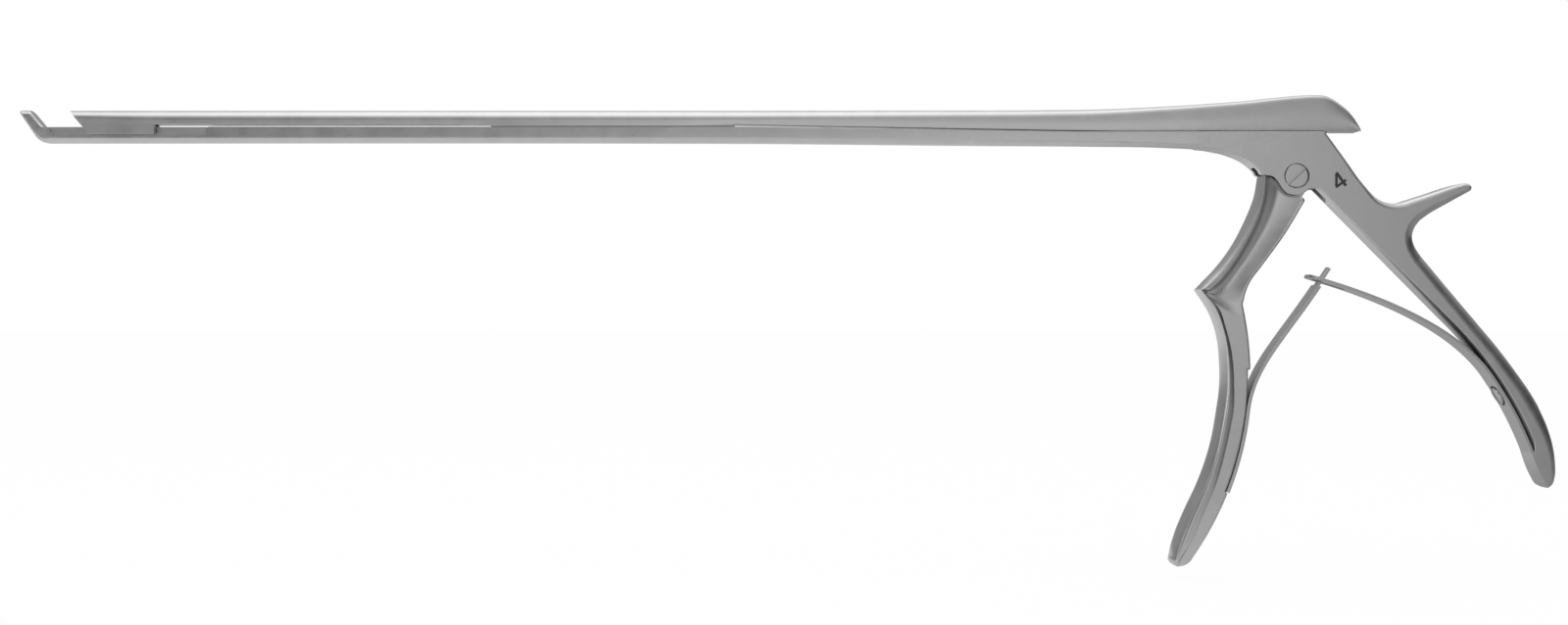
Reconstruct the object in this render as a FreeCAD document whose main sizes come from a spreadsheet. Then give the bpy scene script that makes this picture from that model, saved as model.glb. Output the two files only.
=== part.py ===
import FreeCAD, Part
import math
import os
import Sketcher

# An up-cutting bone rongeur of satin stainless steel, 4 mm bite, 280 mm shaft.
# Everything is drawn about the lever's pivot axis: X runs back from the jaw to the handles,
# Z is up and Y goes across the thickness. The finished pieces are then shifted so that the
# origin is the palm saddle under the rear handle's spur.

SIZES = [
    # The jaw and the two shafts
    ("jaw_reach", 288.1, "pivot axis to the footplate's outer face, at its top"),
    ("bite_width", 4.0, "width of the footplate, the size the instrument is sold by"),
    ("bite_angle", 40.0, "lean of both cutting faces from the upright, degrees"),
    ("footplate_thickness", 1.85, "footplate, square to its cutting face"),
    ("jaw_opening", 9.0, "footplate to the slider's cutting edge along the shaft, open"),
    ("closed_gap", 0.2, "what is left of the opening when the jaw is shut"),
    ("heel_radius", 4.2, "round of the footplate's heel under the jaw"),
    ("heel_rise", 1.3, "top of the heel's round above the shaft's underside"),
    ("heel_steep", 0.8, "lean of the footplate's outer face as a part of the inner face's lean"),
    ("heel_run", 1.9, "length of the heel's round along the shaft"),
    ("heel_bulge", 0.45, "how far that round stands out of its chord"),
    ("cup_bore", 2.9, "diameter of the cup in the slider's nose"),
    ("cup_depth", 2.6, "depth of the cup"),
    ("shaft_width", 4.4, "both shafts across, from the jaw to the taper"),
    ("split_height", 10.0, "rear split plane above the pivot axis"),
    ("split_rise", 1.2, "front split plane above the rear one"),
    ("shaft_depth", 3.65, "front split plane down to the lower shaft's underside"),
    ("slider_depth", 3.75, "front split plane up to the slider's top"),
    ("running_gap", 0.12, "slider to shaft where the slider runs on it"),
    ("relief_gap", 0.45, "slider to shaft where the slider is relieved"),
    ("top_round", 1.8, "round of the upper shaft's two top edges"),
    ("bottom_round", 0.6, "round of the lower shaft's two bottom edges"),
    ("land_reach", 181.5, "pivot axis to the front of the slider's middle land"),
    ("land_length", 55.0, "length of the middle land"),
    # The windows in the lower shaft and the slider's guide block that runs in them
    ("window_reach", 281.3, "pivot axis to the front of the side windows"),
    ("window_length", 36.1, "length of the side windows"),
    ("window_height", 2.1, "window floor below the front split plane"),
    ("rail_width", 1.6, "rail left standing between the windows"),
    ("groove_depth", 0.3, "groove along each side of the rail"),
    ("groove_height", 0.8, "height of the groove"),
    ("groove_drop", 0.87, "groove's middle below the front split plane"),
    ("block_length", 19.4, "guide block behind the slider's cutting edge"),
    ("block_lift", 0.38, "guide block clear of the window floor"),
    ("guide_gap", 0.1, "guide block and tongue clear of their rail and slot"),
    ("lip_setback", 0.6, "lips in the rail's grooves behind the block's slanted front"),
    # The taper from the slim shafts to the body
    ("taper_reach", 124.0, "pivot axis to where the split plane starts to fall"),
    ("flare_reach", 49.0, "pivot axis to where the split plane is level again"),
    ("flare_width", 5.5, "width at that place"),
    ("flare_depth", 3.1, "lower shaft's depth there, under the split plane"),
    ("flare_top", 5.0, "slider's top above the split plane there"),
    ("body_reach", 22.0, "pivot axis to where the full width starts"),
    ("body_width", 7.0, "body, slider tail and rear handle across"),
    ("body_depth", 3.8, "body's depth under the split plane where it starts"),
    ("edge_round", 0.8, "round of the body's outer edges"),
    # The guide tongue under the slider's rear, and its T slot in the body
    ("tongue_reach", 70.0, "pivot axis to the front of the guide tongue"),
    ("tongue_length", 50.0, "length of the guide tongue"),
    ("neck_width", 1.8, "neck of the guide tongue"),
    ("neck_height", 0.9, "height of that neck"),
    ("tee_width", 3.4, "head of the guide tongue"),
    ("tee_height", 0.9, "height of that head"),
    # The slider's tail
    ("tail_top", 8.2, "hump of the tail above the split plane"),
    ("tail_rise", 6.2, "slider's top above the split plane where its full width starts"),
    ("hump_reach", 6.2, "hump behind the pivot axis"),
    ("hump_length", 3.5, "front half of the hump's round; the rear half is half as long"),
    ("hump_fall", 0.7, "fall of the hump at its rear end"),
    ("tail_bulge", 1.0, "how far the tail's rear stands out of its chord"),
    ("tail_reach", 14.5, "end of the tail behind the pivot axis"),
    # The body round the pivot
    ("ear_radius", 4.36, "ear of the body round the pivot"),
    ("ear_blend", 1.94, "radius of the hollow between the ear and the chin"),
    ("ear_rear_end", -41.0, "where the ear's round ends at the rear, degrees up from rearward"),
    ("ear_low", -100.0, "a place at the bottom of the ear's round, degrees"),
    ("ear_front_end", 200.5, "where the ear's round meets the hollow, degrees"),
    ("hollow_rear", 55.0, "a place on the hollow's round, seen from its own centre, degrees"),
    ("chin_reach", 8.3, "chin in front of the pivot axis"),
    ("chin_lift", 0.4, "chin above the pivot axis"),
    ("underside_bulge", 2.0, "rise of the arc from the chin to the shaft"),
    ("rear_corner", 6.3, "body's top rear corner behind the pivot axis"),
    ("rear_slope", 54.0, "fall of the body's rear edge, degrees"),
    ("rear_edge", 16.4, "straight length of that edge"),
    # The spur and the palm saddle
    ("dip_width", 7.3, "hollow between the rear edge and the spur"),
    ("dip_slope", 22.0, "fall from the hollow's front end to its rear end, degrees"),
    ("dip_sag", 1.24, "depth of that hollow under its chord"),
    ("spur_slope", 16.7, "rise of the spur's top, degrees"),
    ("spur_length", 15.0, "straight length of the spur's top"),
    ("spur_tip", 2.3, "thickness of the spur at its tip"),
    ("saddle_back", 26.2, "palm saddle behind the pivot axis"),
    ("saddle_drop", 13.6, "palm saddle below the pivot axis"),
    ("saddle_half", 4.7, "half the height of the saddle's hollow"),
    ("saddle_top_run", 3.38, "saddle's top end behind its deepest place"),
    ("saddle_low_run", 2.16, "saddle's low end behind its deepest place"),
    # The rear handle
    ("notch_reach", 4.6, "top of the handle's inner face behind the pivot axis"),
    ("notch_drop", 2.86, "the same below the pivot axis"),
    ("handle_slope", 45.4, "fall of the inner face, degrees"),
    ("handle_straight", 44.0, "straight length of the inner face"),
    ("handle_radius", 81.0, "bend of the handle below that"),
    ("handle_length", 77.3, "inner face down to the spring's shoulder"),
    ("handle_root", 27.4, "inner face down to just below the saddle"),
    ("handle_root_depth", 6.1, "handle's depth there"),
    ("handle_depth", 4.85, "handle's depth from there on"),
    ("handle_tip", 8.8, "rounded tip below the shoulder"),
    ("tip_slope", 68.7, "fall from the shoulder to the tip, degrees"),
    ("tip_start", 3.0, "back of the handle keeps its bend this far past the shoulder"),
    ("tip_thinning", 0.7, "handle's loss of depth there, and the bulge of the tip's back"),
    ("tip_front_run", 3.0, "rounded length of the tip's front"),
    ("tip_front_slope", 130.0, "direction of that length, degrees up from rearward"),
    ("tip_front_bulge", 0.4, "how far it stands out of its chord"),
    # The lever's slot, its tongue and its head
    ("slot_width", 3.2, "slot between the body's two cheeks"),
    ("slot_gap", 0.1, "lever's tongue clear of each cheek"),
    ("slot_front", 5.9, "front of the slot's mouth before the pivot axis"),
    ("slot_rear", 4.9, "rear of the slot's mouth behind the pivot axis"),
    ("slot_foot", 4.4, "slot's mouth in the handle's inner face, from the notch down"),
    ("slot_ahead", 2.0, "slot ahead of the chin"),
    ("hub_radius", 3.9, "lever's tongue round the pivot"),
    ("arm_width", 2.5, "arm at the head"),
    ("arm_root", 5.2, "arm at the hub"),
    ("head_reach", 15.3, "head's centre above the pivot axis"),
    ("head_radius", 1.6, "head of the lever"),
    ("head_gap", 0.12, "head clear of each side of its notch"),
    ("notch_flare", 2.2, "how far the notch widens to each side at the slider's underside"),
    ("head_lean", 15.9, "arm leans back from the upright when open, degrees"),
    # The front lever below the body
    ("lever_gap", 0.3, "lever clear of the ear and the chin"),
    ("web_width", 6.0, "lever's web across"),
    ("flange_width", 8.0, "lever's finger flange across"),
    ("flange_depth", 3.2, "finger flange from front to back"),
    ("flange_top", 0.6, "the same where it starts under the chin"),
    ("chin_run", 1.6, "lever's top ahead of the hollow over it"),
    ("chin_heading", 164.4, "direction of that top, degrees up from rearward"),
    ("corner_place", -82.0, "lever's rear top corner under the ear, degrees"),
    ("corner_run", 0.7, "length of that corner"),
    ("back_offset", 4.83, "pivot axis to the line of the lever's back"),
    ("back_slope", 34.0, "lean of that line from the upright, degrees"),
    ("back_start", 3.7, "top of the straight back along that line"),
    ("back_length", 22.0, "straight back down to the elbow"),
    ("elbow_run", 5.26, "rounded elbow above the grip"),
    ("elbow_heading", -108.0, "direction of the elbow, degrees up from rearward"),
    ("elbow_bulge", 0.7, "how far the elbow stands out of its chord"),
    ("grip_lean", 11.2, "lean of the grip's chord from the upright, degrees"),
    ("grip_length", 58.2, "chord of the grip from the elbow to the tip"),
    ("grip_radius", 72.0, "bend of the grip's back"),
    ("grip_depth", 6.3, "grip from front to back"),
    ("grip_swell", 0.1, "what the grip gains on that in its middle"),
    ("grip_thinning", 0.5, "what it loses near the tip"),
    ("grip_tip_thinning", 1.2, "what it loses at the tip"),
    ("grip_tip_run", 3.6, "rounded end of the grip"),
    ("grip_tip_heading", 222.0, "direction of that end, degrees up from rearward"),
    ("grip_tip_bulge", 0.4, "how far it stands out of its chord"),
    ("front_seat", 0.55, "front leaf's seat sunk in the grip's back"),
    ("seat_margin", 0.3, "seat past the end of the front leaf"),
    ("seat_run_out", 9.5, "seat past the place where the leaf lifts off"),
    ("knee_reach", 11.5, "knee in front of the elbow"),
    ("knee_drop", 1.4, "knee below the elbow"),
    ("throat_run", 7.4, "finger rest's throat below the knee"),
    ("throat_heading", -63.0, "direction of the throat from the knee, degrees up from rearward"),
    ("finger_bulge", 2.6, "hollow of the upper finger rest"),
    # The two leaf springs and their screws
    ("spring_thickness", 0.8, "both leaves"),
    ("spring_width", 6.4, "both leaves across"),
    ("cross_back", 7.3, "where the leaves cross, behind the pivot axis"),
    ("cross_drop", 23.4, "the same below the pivot axis"),
    ("rear_lift", 57.8, "inner face down to where the rear leaf lifts off"),
    ("rear_slope_tip", 17.0, "slope of the rear leaf at the crossing, degrees"),
    ("rear_overhang", 4.2, "rear leaf past the crossing"),
    ("leaf_slot_width", 2.8, "slot in the rear leaf's tip"),
    ("leaf_slot_rim", 1.2, "rim at the end of that slot"),
    ("leaf_slot_length", 7.6, "length of that slot"),
    ("front_lift", 35.8, "grip's back from the tip up to where the front leaf lifts off"),
    ("front_root", 16.8, "grip's back from the tip up to the front leaf's end"),
    ("front_offset", 1.4, "front leaf ahead of the crossing, along the rear leaf"),
    ("front_slope_tip", 56.0, "slope of the front leaf at the crossing, degrees"),
    ("leaf_tongue_width", 2.3, "tongue of the front leaf"),
    ("leaf_tongue_length", 3.0, "tongue past the crossing"),
    ("leaf_shoulder", 1.9, "shoulders of the front leaf short of the crossing"),
    ("root_pull", 10.0, "stiffness of the curve where a leaf lifts off"),
    ("rear_pull", 20.0, "stiffness of the rear leaf's curve at the crossing"),
    ("front_pull", 15.0, "stiffness of the front leaf's curve at the crossing"),
    ("leaf_screw_head", 3.7, "head of a leaf screw"),
    ("leaf_screw_rise", 0.55, "height of that head"),
    ("sunk_head", 3.4, "head of the front leaf's screw, flush in the leaf"),
    ("sunk_head_depth", 0.45, "depth of that head"),
    ("leaf_screw_shank", 1.9, "shank of a leaf screw"),
    ("leaf_screw_length", 3.2, "shank below the leaf"),
    ("leaf_screw_slot", 0.55, "width of a leaf screw's driver slot"),
    ("leaf_screw_slot_depth", 0.3, "depth of that slot"),
    ("leaf_screw_fit", 0.04, "shank clear of its holes"),
    ("leaf_gap", 0.03, "leaf clear of its seat and of its screw's head"),
    ("rear_screw_lift", 14.3, "rear leaf's end up to its screw"),
    ("front_screw_place", 28.6, "grip's back from the tip up to the front leaf's screw"),
    # The pivot screw
    ("screw_head", 5.4, "head of the pivot screw"),
    ("screw_head_depth", 1.1, "depth of that head"),
    ("screw_head_fit", 0.1, "head clear of its counterbore"),
    ("screw_shank", 3.4, "shank of the pivot screw"),
    ("screw_fit", 0.04, "shank clear of the lever's bore"),
    ("screw_slot", 0.65, "width of the screwdriver slot"),
    ("screw_slot_depth", 0.5, "depth of the screwdriver slot"),
    ("screw_slot_angle", 43.0, "turn of the pivot screw's slot, degrees"),
]

# Material meets material by this much, and cuts reach past the material by this much.
OVERLAP = 0.5
PAST = 1.0

doc = FreeCAD.newDocument("BoneRongeur")
sheet = doc.addObject("Spreadsheet::Sheet", "Sizes")
for row, (alias, value, meaning) in enumerate(SIZES, start=1):
    sheet.set(f"A{row}", alias)
    sheet.set(f"B{row}", str(value))
    sheet.set(f"C{row}", meaning)
    sheet.setAlias(f"B{row}", alias)
doc.recompute()
size = {alias: float(sheet.get(alias)) for alias, value, meaning in SIZES}


# Points in the side view are (x, z) pairs about the pivot axis.

def polar(radius, degrees):
    """The point at this radius from the pivot, at this angle up from the rearward direction."""
    angle = math.radians(degrees)
    return (radius * math.cos(angle), radius * math.sin(angle))


def along(point, degrees, distance):
    """The point reached by going this distance from a point, at this angle from rearward."""
    angle = math.radians(degrees)
    return (point[0] + distance * math.cos(angle), point[1] + distance * math.sin(angle))


def bulged(first, last, rise):
    """The middle of an arc between two points that stands this far to the left of its chord."""
    middle = ((first[0] + last[0]) / 2, (first[1] + last[1]) / 2)
    heading = math.degrees(math.atan2(last[1] - first[1], last[0] - first[0]))
    return along(middle, heading + 90, rise)


def bezier(first, first_pull, last_pull, last, count=9):
    """Points along a cubic curve between two ends, drawn towards two pulling points."""
    points = []
    for step in range(count):
        part = step / (count - 1)
        weights = ((1 - part) ** 3, 3 * part * (1 - part) ** 2, 3 * part ** 2 * (1 - part), part ** 3)
        corners = (first, first_pull, last_pull, last)
        x = sum(weight * corner[0] for weight, corner in zip(weights, corners))
        z = sum(weight * corner[1] for weight, corner in zip(weights, corners))
        points.append((x, z))
    return points


def vector(point):
    return FreeCAD.Vector(point[0], point[1], 0)


# Sketches, material and cuts

def new_body(label):
    """A body whose placement carries the drawing from the pivot axis to the palm saddle."""
    body = doc.addObject("PartDesign::Body", label)
    body.Label = label
    body.setExpression(".Placement.Base.x", "-Sizes.saddle_back")
    body.setExpression(".Placement.Base.z", "Sizes.saddle_drop")
    return body


def new_sketch(body, name, role="XZ_Plane", offset=None):
    """A sketch on one of the body's origin planes, moved along its normal by an expression."""
    sketch = body.newObject("Sketcher::SketchObject", name)
    plane = [feature for feature in body.Origin.OriginFeatures if feature.Role == role][0]
    sketch.AttachmentSupport = [(plane, "")]
    sketch.MapMode = "FlatFace"
    if offset:
        sketch.setExpression("AttachmentOffset.Base.z", offset)
    return sketch


def facing_sketch(body, name, point, heading):
    """A sketch square to the side view, at a point and facing along this heading."""
    sketch = new_sketch(body, name, "XY_Plane")
    turn = FreeCAD.Rotation(FreeCAD.Vector(0, 1, 0), 90 - heading)
    sketch.AttachmentOffset = FreeCAD.Placement(FreeCAD.Vector(point[0], 0, point[1]), turn)
    return sketch


def turned_rectangle(degrees, run, half):
    """The corners of a rectangle about the origin, its length turned by an angle."""
    first = along((0, 0), degrees, run)
    last = along((0, 0), degrees + 180, run)
    return [
        along(first, degrees + 90, half),
        along(first, degrees - 90, half),
        along(last, degrees - 90, half),
        along(last, degrees + 90, half),
    ]


def outline(sketch, start, *steps):
    """A closed outline: a step is a point (line), a pair of points (arc through the first to the
    second) or a list of points (smooth curve through them all)."""
    here = start
    ends = []
    for step in steps + (start,):
        if isinstance(step, list):
            curve = Part.BSplineCurve()
            curve.interpolate([vector(point) for point in [here] + step])
            goal = step[-1]
        elif isinstance(step[0], tuple):
            curve = Part.Arc(vector(here), vector(step[0]), vector(step[1]))
            goal = step[1]
        elif math.dist(here, step) > 1e-6:
            curve = Part.LineSegment(vector(here), vector(step))
            goal = step
        else:
            continue
        index = sketch.addGeometry(curve, False)
        first, last = sketch.getPoint(index, 1), sketch.getPoint(index, 2)
        forwards = first.distanceToPoint(vector(here)) < last.distanceToPoint(vector(here))
        ends.append((index, 1, 2) if forwards else (index, 2, 1))
        here = goal
    for this, following in zip(ends, ends[1:] + ends[:1]):
        joint = Sketcher.Constraint("Coincident", this[0], this[2], following[0], following[1])
        sketch.addConstraint(joint)
    return sketch


def rectangle(sketch, left, right, low, high):
    """An upright rectangle between these places."""
    return outline(sketch, (left, low), (right, low), (right, high), (left, high))


def circle(sketch, centre, radius):
    """A circle round a point, its radius held by an expression on the sheet."""
    middle = FreeCAD.Vector(centre[0], centre[1], 0)
    ring = sketch.addGeometry(Part.Circle(middle, FreeCAD.Vector(0, 0, 1), 1), False)
    held = sketch.addConstraint(Sketcher.Constraint("Radius", ring, 1.0))
    sketch.setExpression(f"Constraints[{held}]", radius)
    return sketch


def pad(body, sketch, length, symmetric=True, backwards=False):
    """Material from a sketch, its length held by an expression."""
    feature = body.newObject("PartDesign::Pad", sketch.Name + "_pad")
    feature.Profile = sketch
    feature.SideType = "Symmetric" if symmetric else "One side"
    feature.Reversed = backwards
    feature.setExpression("Length", length)
    doc.recompute()
    return feature


def pocket(body, sketch, length=None, symmetric=True, backwards=False):
    """A cut from a sketch; it has to take something off."""
    before = body.Shape.Volume
    feature = body.newObject("PartDesign::Pocket", sketch.Name + "_cut")
    feature.Profile = sketch
    feature.SideType = "Symmetric" if symmetric else "One side"
    feature.Reversed = backwards
    if length:
        feature.setExpression("Length", length)
    else:
        feature.Type = "ThroughAll"
    doc.recompute()
    if body.Shape.Volume > before - 1e-4:
        raise ValueError(f"{feature.Name} cuts nothing")
    return feature


def loft(body, sketches):
    """Straight-sided material through a row of sections."""
    feature = body.newObject("PartDesign::AdditiveLoft", sketches[0].Name + "_loft")
    feature.Profile = sketches[0]
    feature.Sections = sketches[1:]
    feature.Ruled = True
    doc.recompute()
    return feature


def bar_section(body, name, offset, width, low, high, low_round, high_round):
    """A shaft's section square to X: a rectangle with rounded bottom or top corners."""
    half = width / 2
    sketch = new_sketch(body, name, "YZ_Plane", offset)
    turn = 1 - math.sqrt(0.5)
    if low_round:
        outline(
            sketch,
            (-half, high),
            (-half, low + low_round),
            ((-half + turn * low_round, low + turn * low_round), (-half + low_round, low)),
            (half - low_round, low),
            ((half - turn * low_round, low + turn * low_round), (half, low + low_round)),
            (half, high),
        )
    else:
        outline(
            sketch,
            (half, low),
            (half, high - high_round),
            ((half - turn * high_round, high - turn * high_round), (half - high_round, high)),
            (-half + high_round, high),
            ((-half + turn * high_round, high - turn * high_round), (-half, high - high_round)),
            (-half, low),
        )
    return sketch


# Places that several pieces share, worked out once from the sizes

front_split = size["split_height"] + size["split_rise"]
shaft_bottom = front_split - size["shaft_depth"]
slider_top = front_split + size["slider_depth"]
lean = math.tan(math.radians(size["bite_angle"]))
across_plate = size["footplate_thickness"] / math.cos(math.radians(size["bite_angle"]))
plate_top_inner = (-size["jaw_reach"] + across_plate, slider_top)
plate_foot_inner = (plate_top_inner[0] + lean * (slider_top - front_split), front_split)
nose_top = (plate_top_inner[0] + size["jaw_opening"], slider_top)
nose_foot = (plate_foot_inner[0] + size["jaw_opening"], front_split)


def handle_point(distance, depth=0.0):
    """A point this far down the rear handle's inner face, this deep into the handle."""
    start = (size["notch_reach"], -size["notch_drop"])
    bent = max(0.0, distance - size["handle_straight"]) / size["handle_radius"]
    corner = along(start, -size["handle_slope"], min(distance, size["handle_straight"]))
    chord = 2 * size["handle_radius"] * math.sin(bent / 2)
    middle = along(corner, -size["handle_slope"] - math.degrees(bent) / 2, chord)
    return along(middle, handle_heading(distance) + 90, depth)


def handle_heading(distance):
    """The direction of the inner face there, in degrees, going down."""
    bent = max(0.0, distance - size["handle_straight"]) / size["handle_radius"]
    return -size["handle_slope"] - math.degrees(bent)


# The lever's back: a straight line down to the elbow, then the grip's arc to the tip.
back_heading = -90 - size["back_slope"]
back_foot = polar(size["back_offset"], -size["back_slope"])
back_top = along(back_foot, back_heading, size["back_start"])
elbow = along(back_top, back_heading, size["back_length"])
grip_heading = -90 - size["grip_lean"]
grip_top = along(elbow, size["elbow_heading"], size["elbow_run"])
grip_end = along(grip_top, grip_heading, size["grip_length"])
half_grip = math.degrees(math.asin(size["grip_length"] / 2 / size["grip_radius"]))
grip_centre = along(grip_top, grip_heading - 90 + half_grip, size["grip_radius"])


def grip_point(distance, depth=0.0):
    """A point on the lever's grip, this far up from its tip along the back's arc, and this deep."""
    turn = math.degrees(distance / size["grip_radius"])
    heading = grip_heading - half_grip + turn
    return along(grip_centre, heading + 90, size["grip_radius"] - depth)


def grip_slope(distance):
    """The direction of the grip's back there, in degrees, going up."""
    return grip_heading + 180 - half_grip + math.degrees(distance / size["grip_radius"])


open_reach = size["head_reach"] * math.sin(math.radians(size["head_lean"]))
travel = size["jaw_opening"] - size["closed_gap"]
closed_lean = math.degrees(math.asin((travel - open_reach) / size["head_reach"]))
head_centre = polar(size["head_reach"], 90 - size["head_lean"])
crossing = (size["cross_back"], -size["cross_drop"])


# The S-shaped edge where the body's ear and chin meet the lever, grown by a gap towards the lever.

def s_edge(gap):
    """From the ear's round to the chin: the ear's radius, its end at the hollow, two places on the
    hollow's round and the chin."""
    ear = size["ear_radius"] + gap
    hollow = size["ear_blend"] - gap
    centre = polar(size["ear_radius"] + size["ear_blend"], size["ear_front_end"])
    touch = polar(ear, size["ear_front_end"])
    crest = (centre[0], centre[1] + hollow)
    chin = (-size["chin_reach"], size["chin_lift"] - gap)
    shoulder = along(centre, size["hollow_rear"], hollow)
    return ear, touch, shoulder, crest, chin


# The frame: lower shaft, footplate, body, rear handle and spur, one forging

frame = new_body("frame")

# The plate-like rear: body, spur and rear handle, as one outline across the full width.
ear, ear_touch, hollow_shoulder, hollow_crest, chin = s_edge(0.0)
body_front_top = (-size["body_reach"], size["split_height"])
body_front_low = (-size["body_reach"], size["split_height"] - size["body_depth"])
corner = (size["rear_corner"], size["split_height"])
slope_end = along(corner, -size["rear_slope"], size["rear_edge"])
dip_fall = size["dip_width"] * math.tan(math.radians(size["dip_slope"]))
spur_root = (slope_end[0] + size["dip_width"], slope_end[1] - dip_fall)
dip = bulged(slope_end, spur_root, -size["dip_sag"])
spur_top = along(spur_root, size["spur_slope"], size["spur_length"])
spur_under = along(spur_top, size["spur_slope"] - 90, size["spur_tip"])
spur_nose = bulged(spur_top, spur_under, size["spur_tip"] / 2)
saddle = (size["saddle_back"], -size["saddle_drop"])
saddle_top = (saddle[0] + size["saddle_top_run"], saddle[1] + size["saddle_half"])
saddle_low = (saddle[0] + size["saddle_low_run"], saddle[1] - size["saddle_half"])
back_root = handle_point(size["handle_root"], size["handle_root_depth"])
back_bend = handle_point(size["handle_straight"], size["handle_depth"])
bend_middle = (size["handle_straight"] + size["handle_length"]) / 2
back_mid = handle_point(bend_middle, size["handle_depth"])
tip_depth = size["handle_depth"] - size["tip_thinning"]
back_end = handle_point(size["handle_length"] + size["tip_start"], tip_depth)
tip_end = along(handle_point(size["handle_length"]), -size["tip_slope"], size["handle_tip"])
tip_front = along(tip_end, size["tip_front_slope"], size["tip_front_run"])
shoulder_outer = handle_point(size["handle_length"], -size["spring_thickness"])
shoulder_inner = handle_point(size["handle_length"])
inner_mid = handle_point(bend_middle)
inner_bend = handle_point(size["handle_straight"])
notch = (size["notch_reach"], -size["notch_drop"])
ear_end = polar(ear, size["ear_rear_end"])

plate = outline(
    new_sketch(frame, "plate"),
    body_front_top,
    corner,
    slope_end,
    (dip, spur_root),
    spur_top,
    (spur_nose, spur_under),
    saddle_top,
    (saddle, saddle_low),
    back_root,
    back_bend,
    (back_mid, back_end),
    (bulged(back_end, tip_end, size["tip_thinning"]), tip_end),
    (bulged(tip_end, tip_front, size["tip_front_bulge"]), tip_front),
    shoulder_outer,
    shoulder_inner,
    (inner_mid, inner_bend),
    notch,
    ear_end,
    (polar(ear, size["ear_low"]), ear_touch),
    (hollow_shoulder, hollow_crest),
    chin,
    (bulged(chin, body_front_low, -size["underside_bulge"]), body_front_low),
)
pad(frame, plate, "Sizes.body_width")
# The lower shaft: widening straight-sided into the body, then one even bar to the jaw.
taper = bar_section(
    frame,
    "taper",
    "-Sizes.taper_reach",
    size["shaft_width"],
    shaft_bottom,
    front_split,
    size["bottom_round"],
    0,
)
flare = bar_section(
    frame,
    "flare",
    "-Sizes.flare_reach",
    size["flare_width"],
    size["split_height"] - size["flare_depth"],
    size["split_height"],
    size["edge_round"],
    0,
)
body_start = bar_section(
    frame,
    "body_start",
    "-Sizes.body_reach",
    size["body_width"],
    size["split_height"] - size["body_depth"],
    size["split_height"],
    size["edge_round"],
    0,
)
loft(frame, [taper, flare, body_start])
bar = bar_section(
    frame,
    "bar",
    "-Sizes.taper_reach",
    size["shaft_width"],
    shaft_bottom,
    front_split,
    size["bottom_round"],
    0,
)
heel_place = plate_foot_inner[0] + size["heel_radius"]
pad(frame, bar, f"{-heel_place} - Sizes.taper_reach", symmetric=False, backwards=True)

# The footplate, turned up at the bite angle.
plate_top_outer = (-size["jaw_reach"], slider_top)
heel_top = shaft_bottom + size["heel_rise"]
heel_out = (plate_top_outer[0] + (slider_top - heel_top) * lean * size["heel_steep"], heel_top)
heel_low = (heel_out[0] + size["heel_run"], shaft_bottom)
footplate = outline(
    new_sketch(frame, "footplate"),
    plate_top_outer,
    heel_out,
    (bulged(heel_out, heel_low, -size["heel_bulge"]), heel_low),
    (heel_place + OVERLAP, shaft_bottom),
    (heel_place + OVERLAP, front_split),
    plate_foot_inner,
    plate_top_inner,
)
pad(frame, footplate, "Sizes.bite_width")

# The windows on both sides, which leave the rail, and the groove along each side of the rail.
# Their front end carries on the footplate's inner face.
window_floor = front_split - size["window_height"]
window_rear = size["window_length"] - size["window_reach"]
groove_middle = front_split - size["groove_drop"]
for side, name in ((1, "near"), (-1, "far")):
    window = outline(
        new_sketch(frame, f"window_{name}", offset=f"{side} * Sizes.rail_width / 2"),
        (plate_foot_inner[0] - lean * PAST, front_split + PAST),
        (window_rear, front_split + PAST),
        (window_rear, window_floor),
        (plate_foot_inner[0] + lean * size["window_height"], window_floor),
    )
    pocket(frame, window, symmetric=False, backwards=side > 0)
    groove = new_sketch(
        frame, f"groove_{name}", offset=f"{side} * (Sizes.rail_width / 2 - Sizes.groove_depth)"
    )
    rectangle(
        groove,
        -size["window_reach"],
        window_rear,
        groove_middle - size["groove_height"] / 2,
        groove_middle + size["groove_height"] / 2,
    )
    pocket(frame, groove, "Sizes.groove_depth", symmetric=False, backwards=side > 0)

# The T slot for the slider's guide tongue, open into the lever's slot.
tee_span = (-size["tongue_reach"] - size["jaw_opening"] - 1.5 * PAST, -size["slot_front"] + OVERLAP)
tee_neck = rectangle(
    new_sketch(frame, "tee_neck"),
    *tee_span,
    size["split_height"] - size["neck_height"],
    size["split_height"] + PAST,
)
pocket(frame, tee_neck, "Sizes.neck_width + 2 * Sizes.guide_gap")
tee_head = rectangle(
    new_sketch(frame, "tee_head"),
    *tee_span,
    size["split_height"] - size["neck_height"] - size["tee_height"] - size["guide_gap"],
    size["split_height"] - size["neck_height"] + size["guide_gap"],
)
pocket(frame, tee_head, "Sizes.tee_width + 2 * Sizes.guide_gap")

# The slot between the cheeks, in which the lever's tongue swings, and the pivot's bores.
slot = outline(
    new_sketch(frame, "slot"),
    (-size["slot_front"], size["split_height"] + PAST),
    (-size["slot_front"], size["ear_radius"]),
    (-size["chin_reach"] - size["slot_ahead"], size["chin_lift"] + size["slot_gap"] + 0.7),
    (-size["chin_reach"] - size["slot_ahead"], -size["head_reach"] / 2),
    along(notch, -size["handle_slope"], size["slot_foot"]),
    (size["slot_rear"] + size["slot_width"] / 2, 0.0),
    (size["slot_rear"], size["split_height"] + PAST),
)
pocket(frame, slot, "Sizes.slot_width")
pocket(frame, circle(new_sketch(frame, "pivot_hole"), (0, 0), "Sizes.screw_shank / 2"))
screw_seat = circle(
    new_sketch(frame, "screw_seat", offset="Sizes.body_width / 2 - Sizes.screw_head_depth"),
    (0, 0),
    "Sizes.screw_head / 2 + Sizes.screw_head_fit",
)
pocket(frame, screw_seat, symmetric=False, backwards=True)

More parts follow.
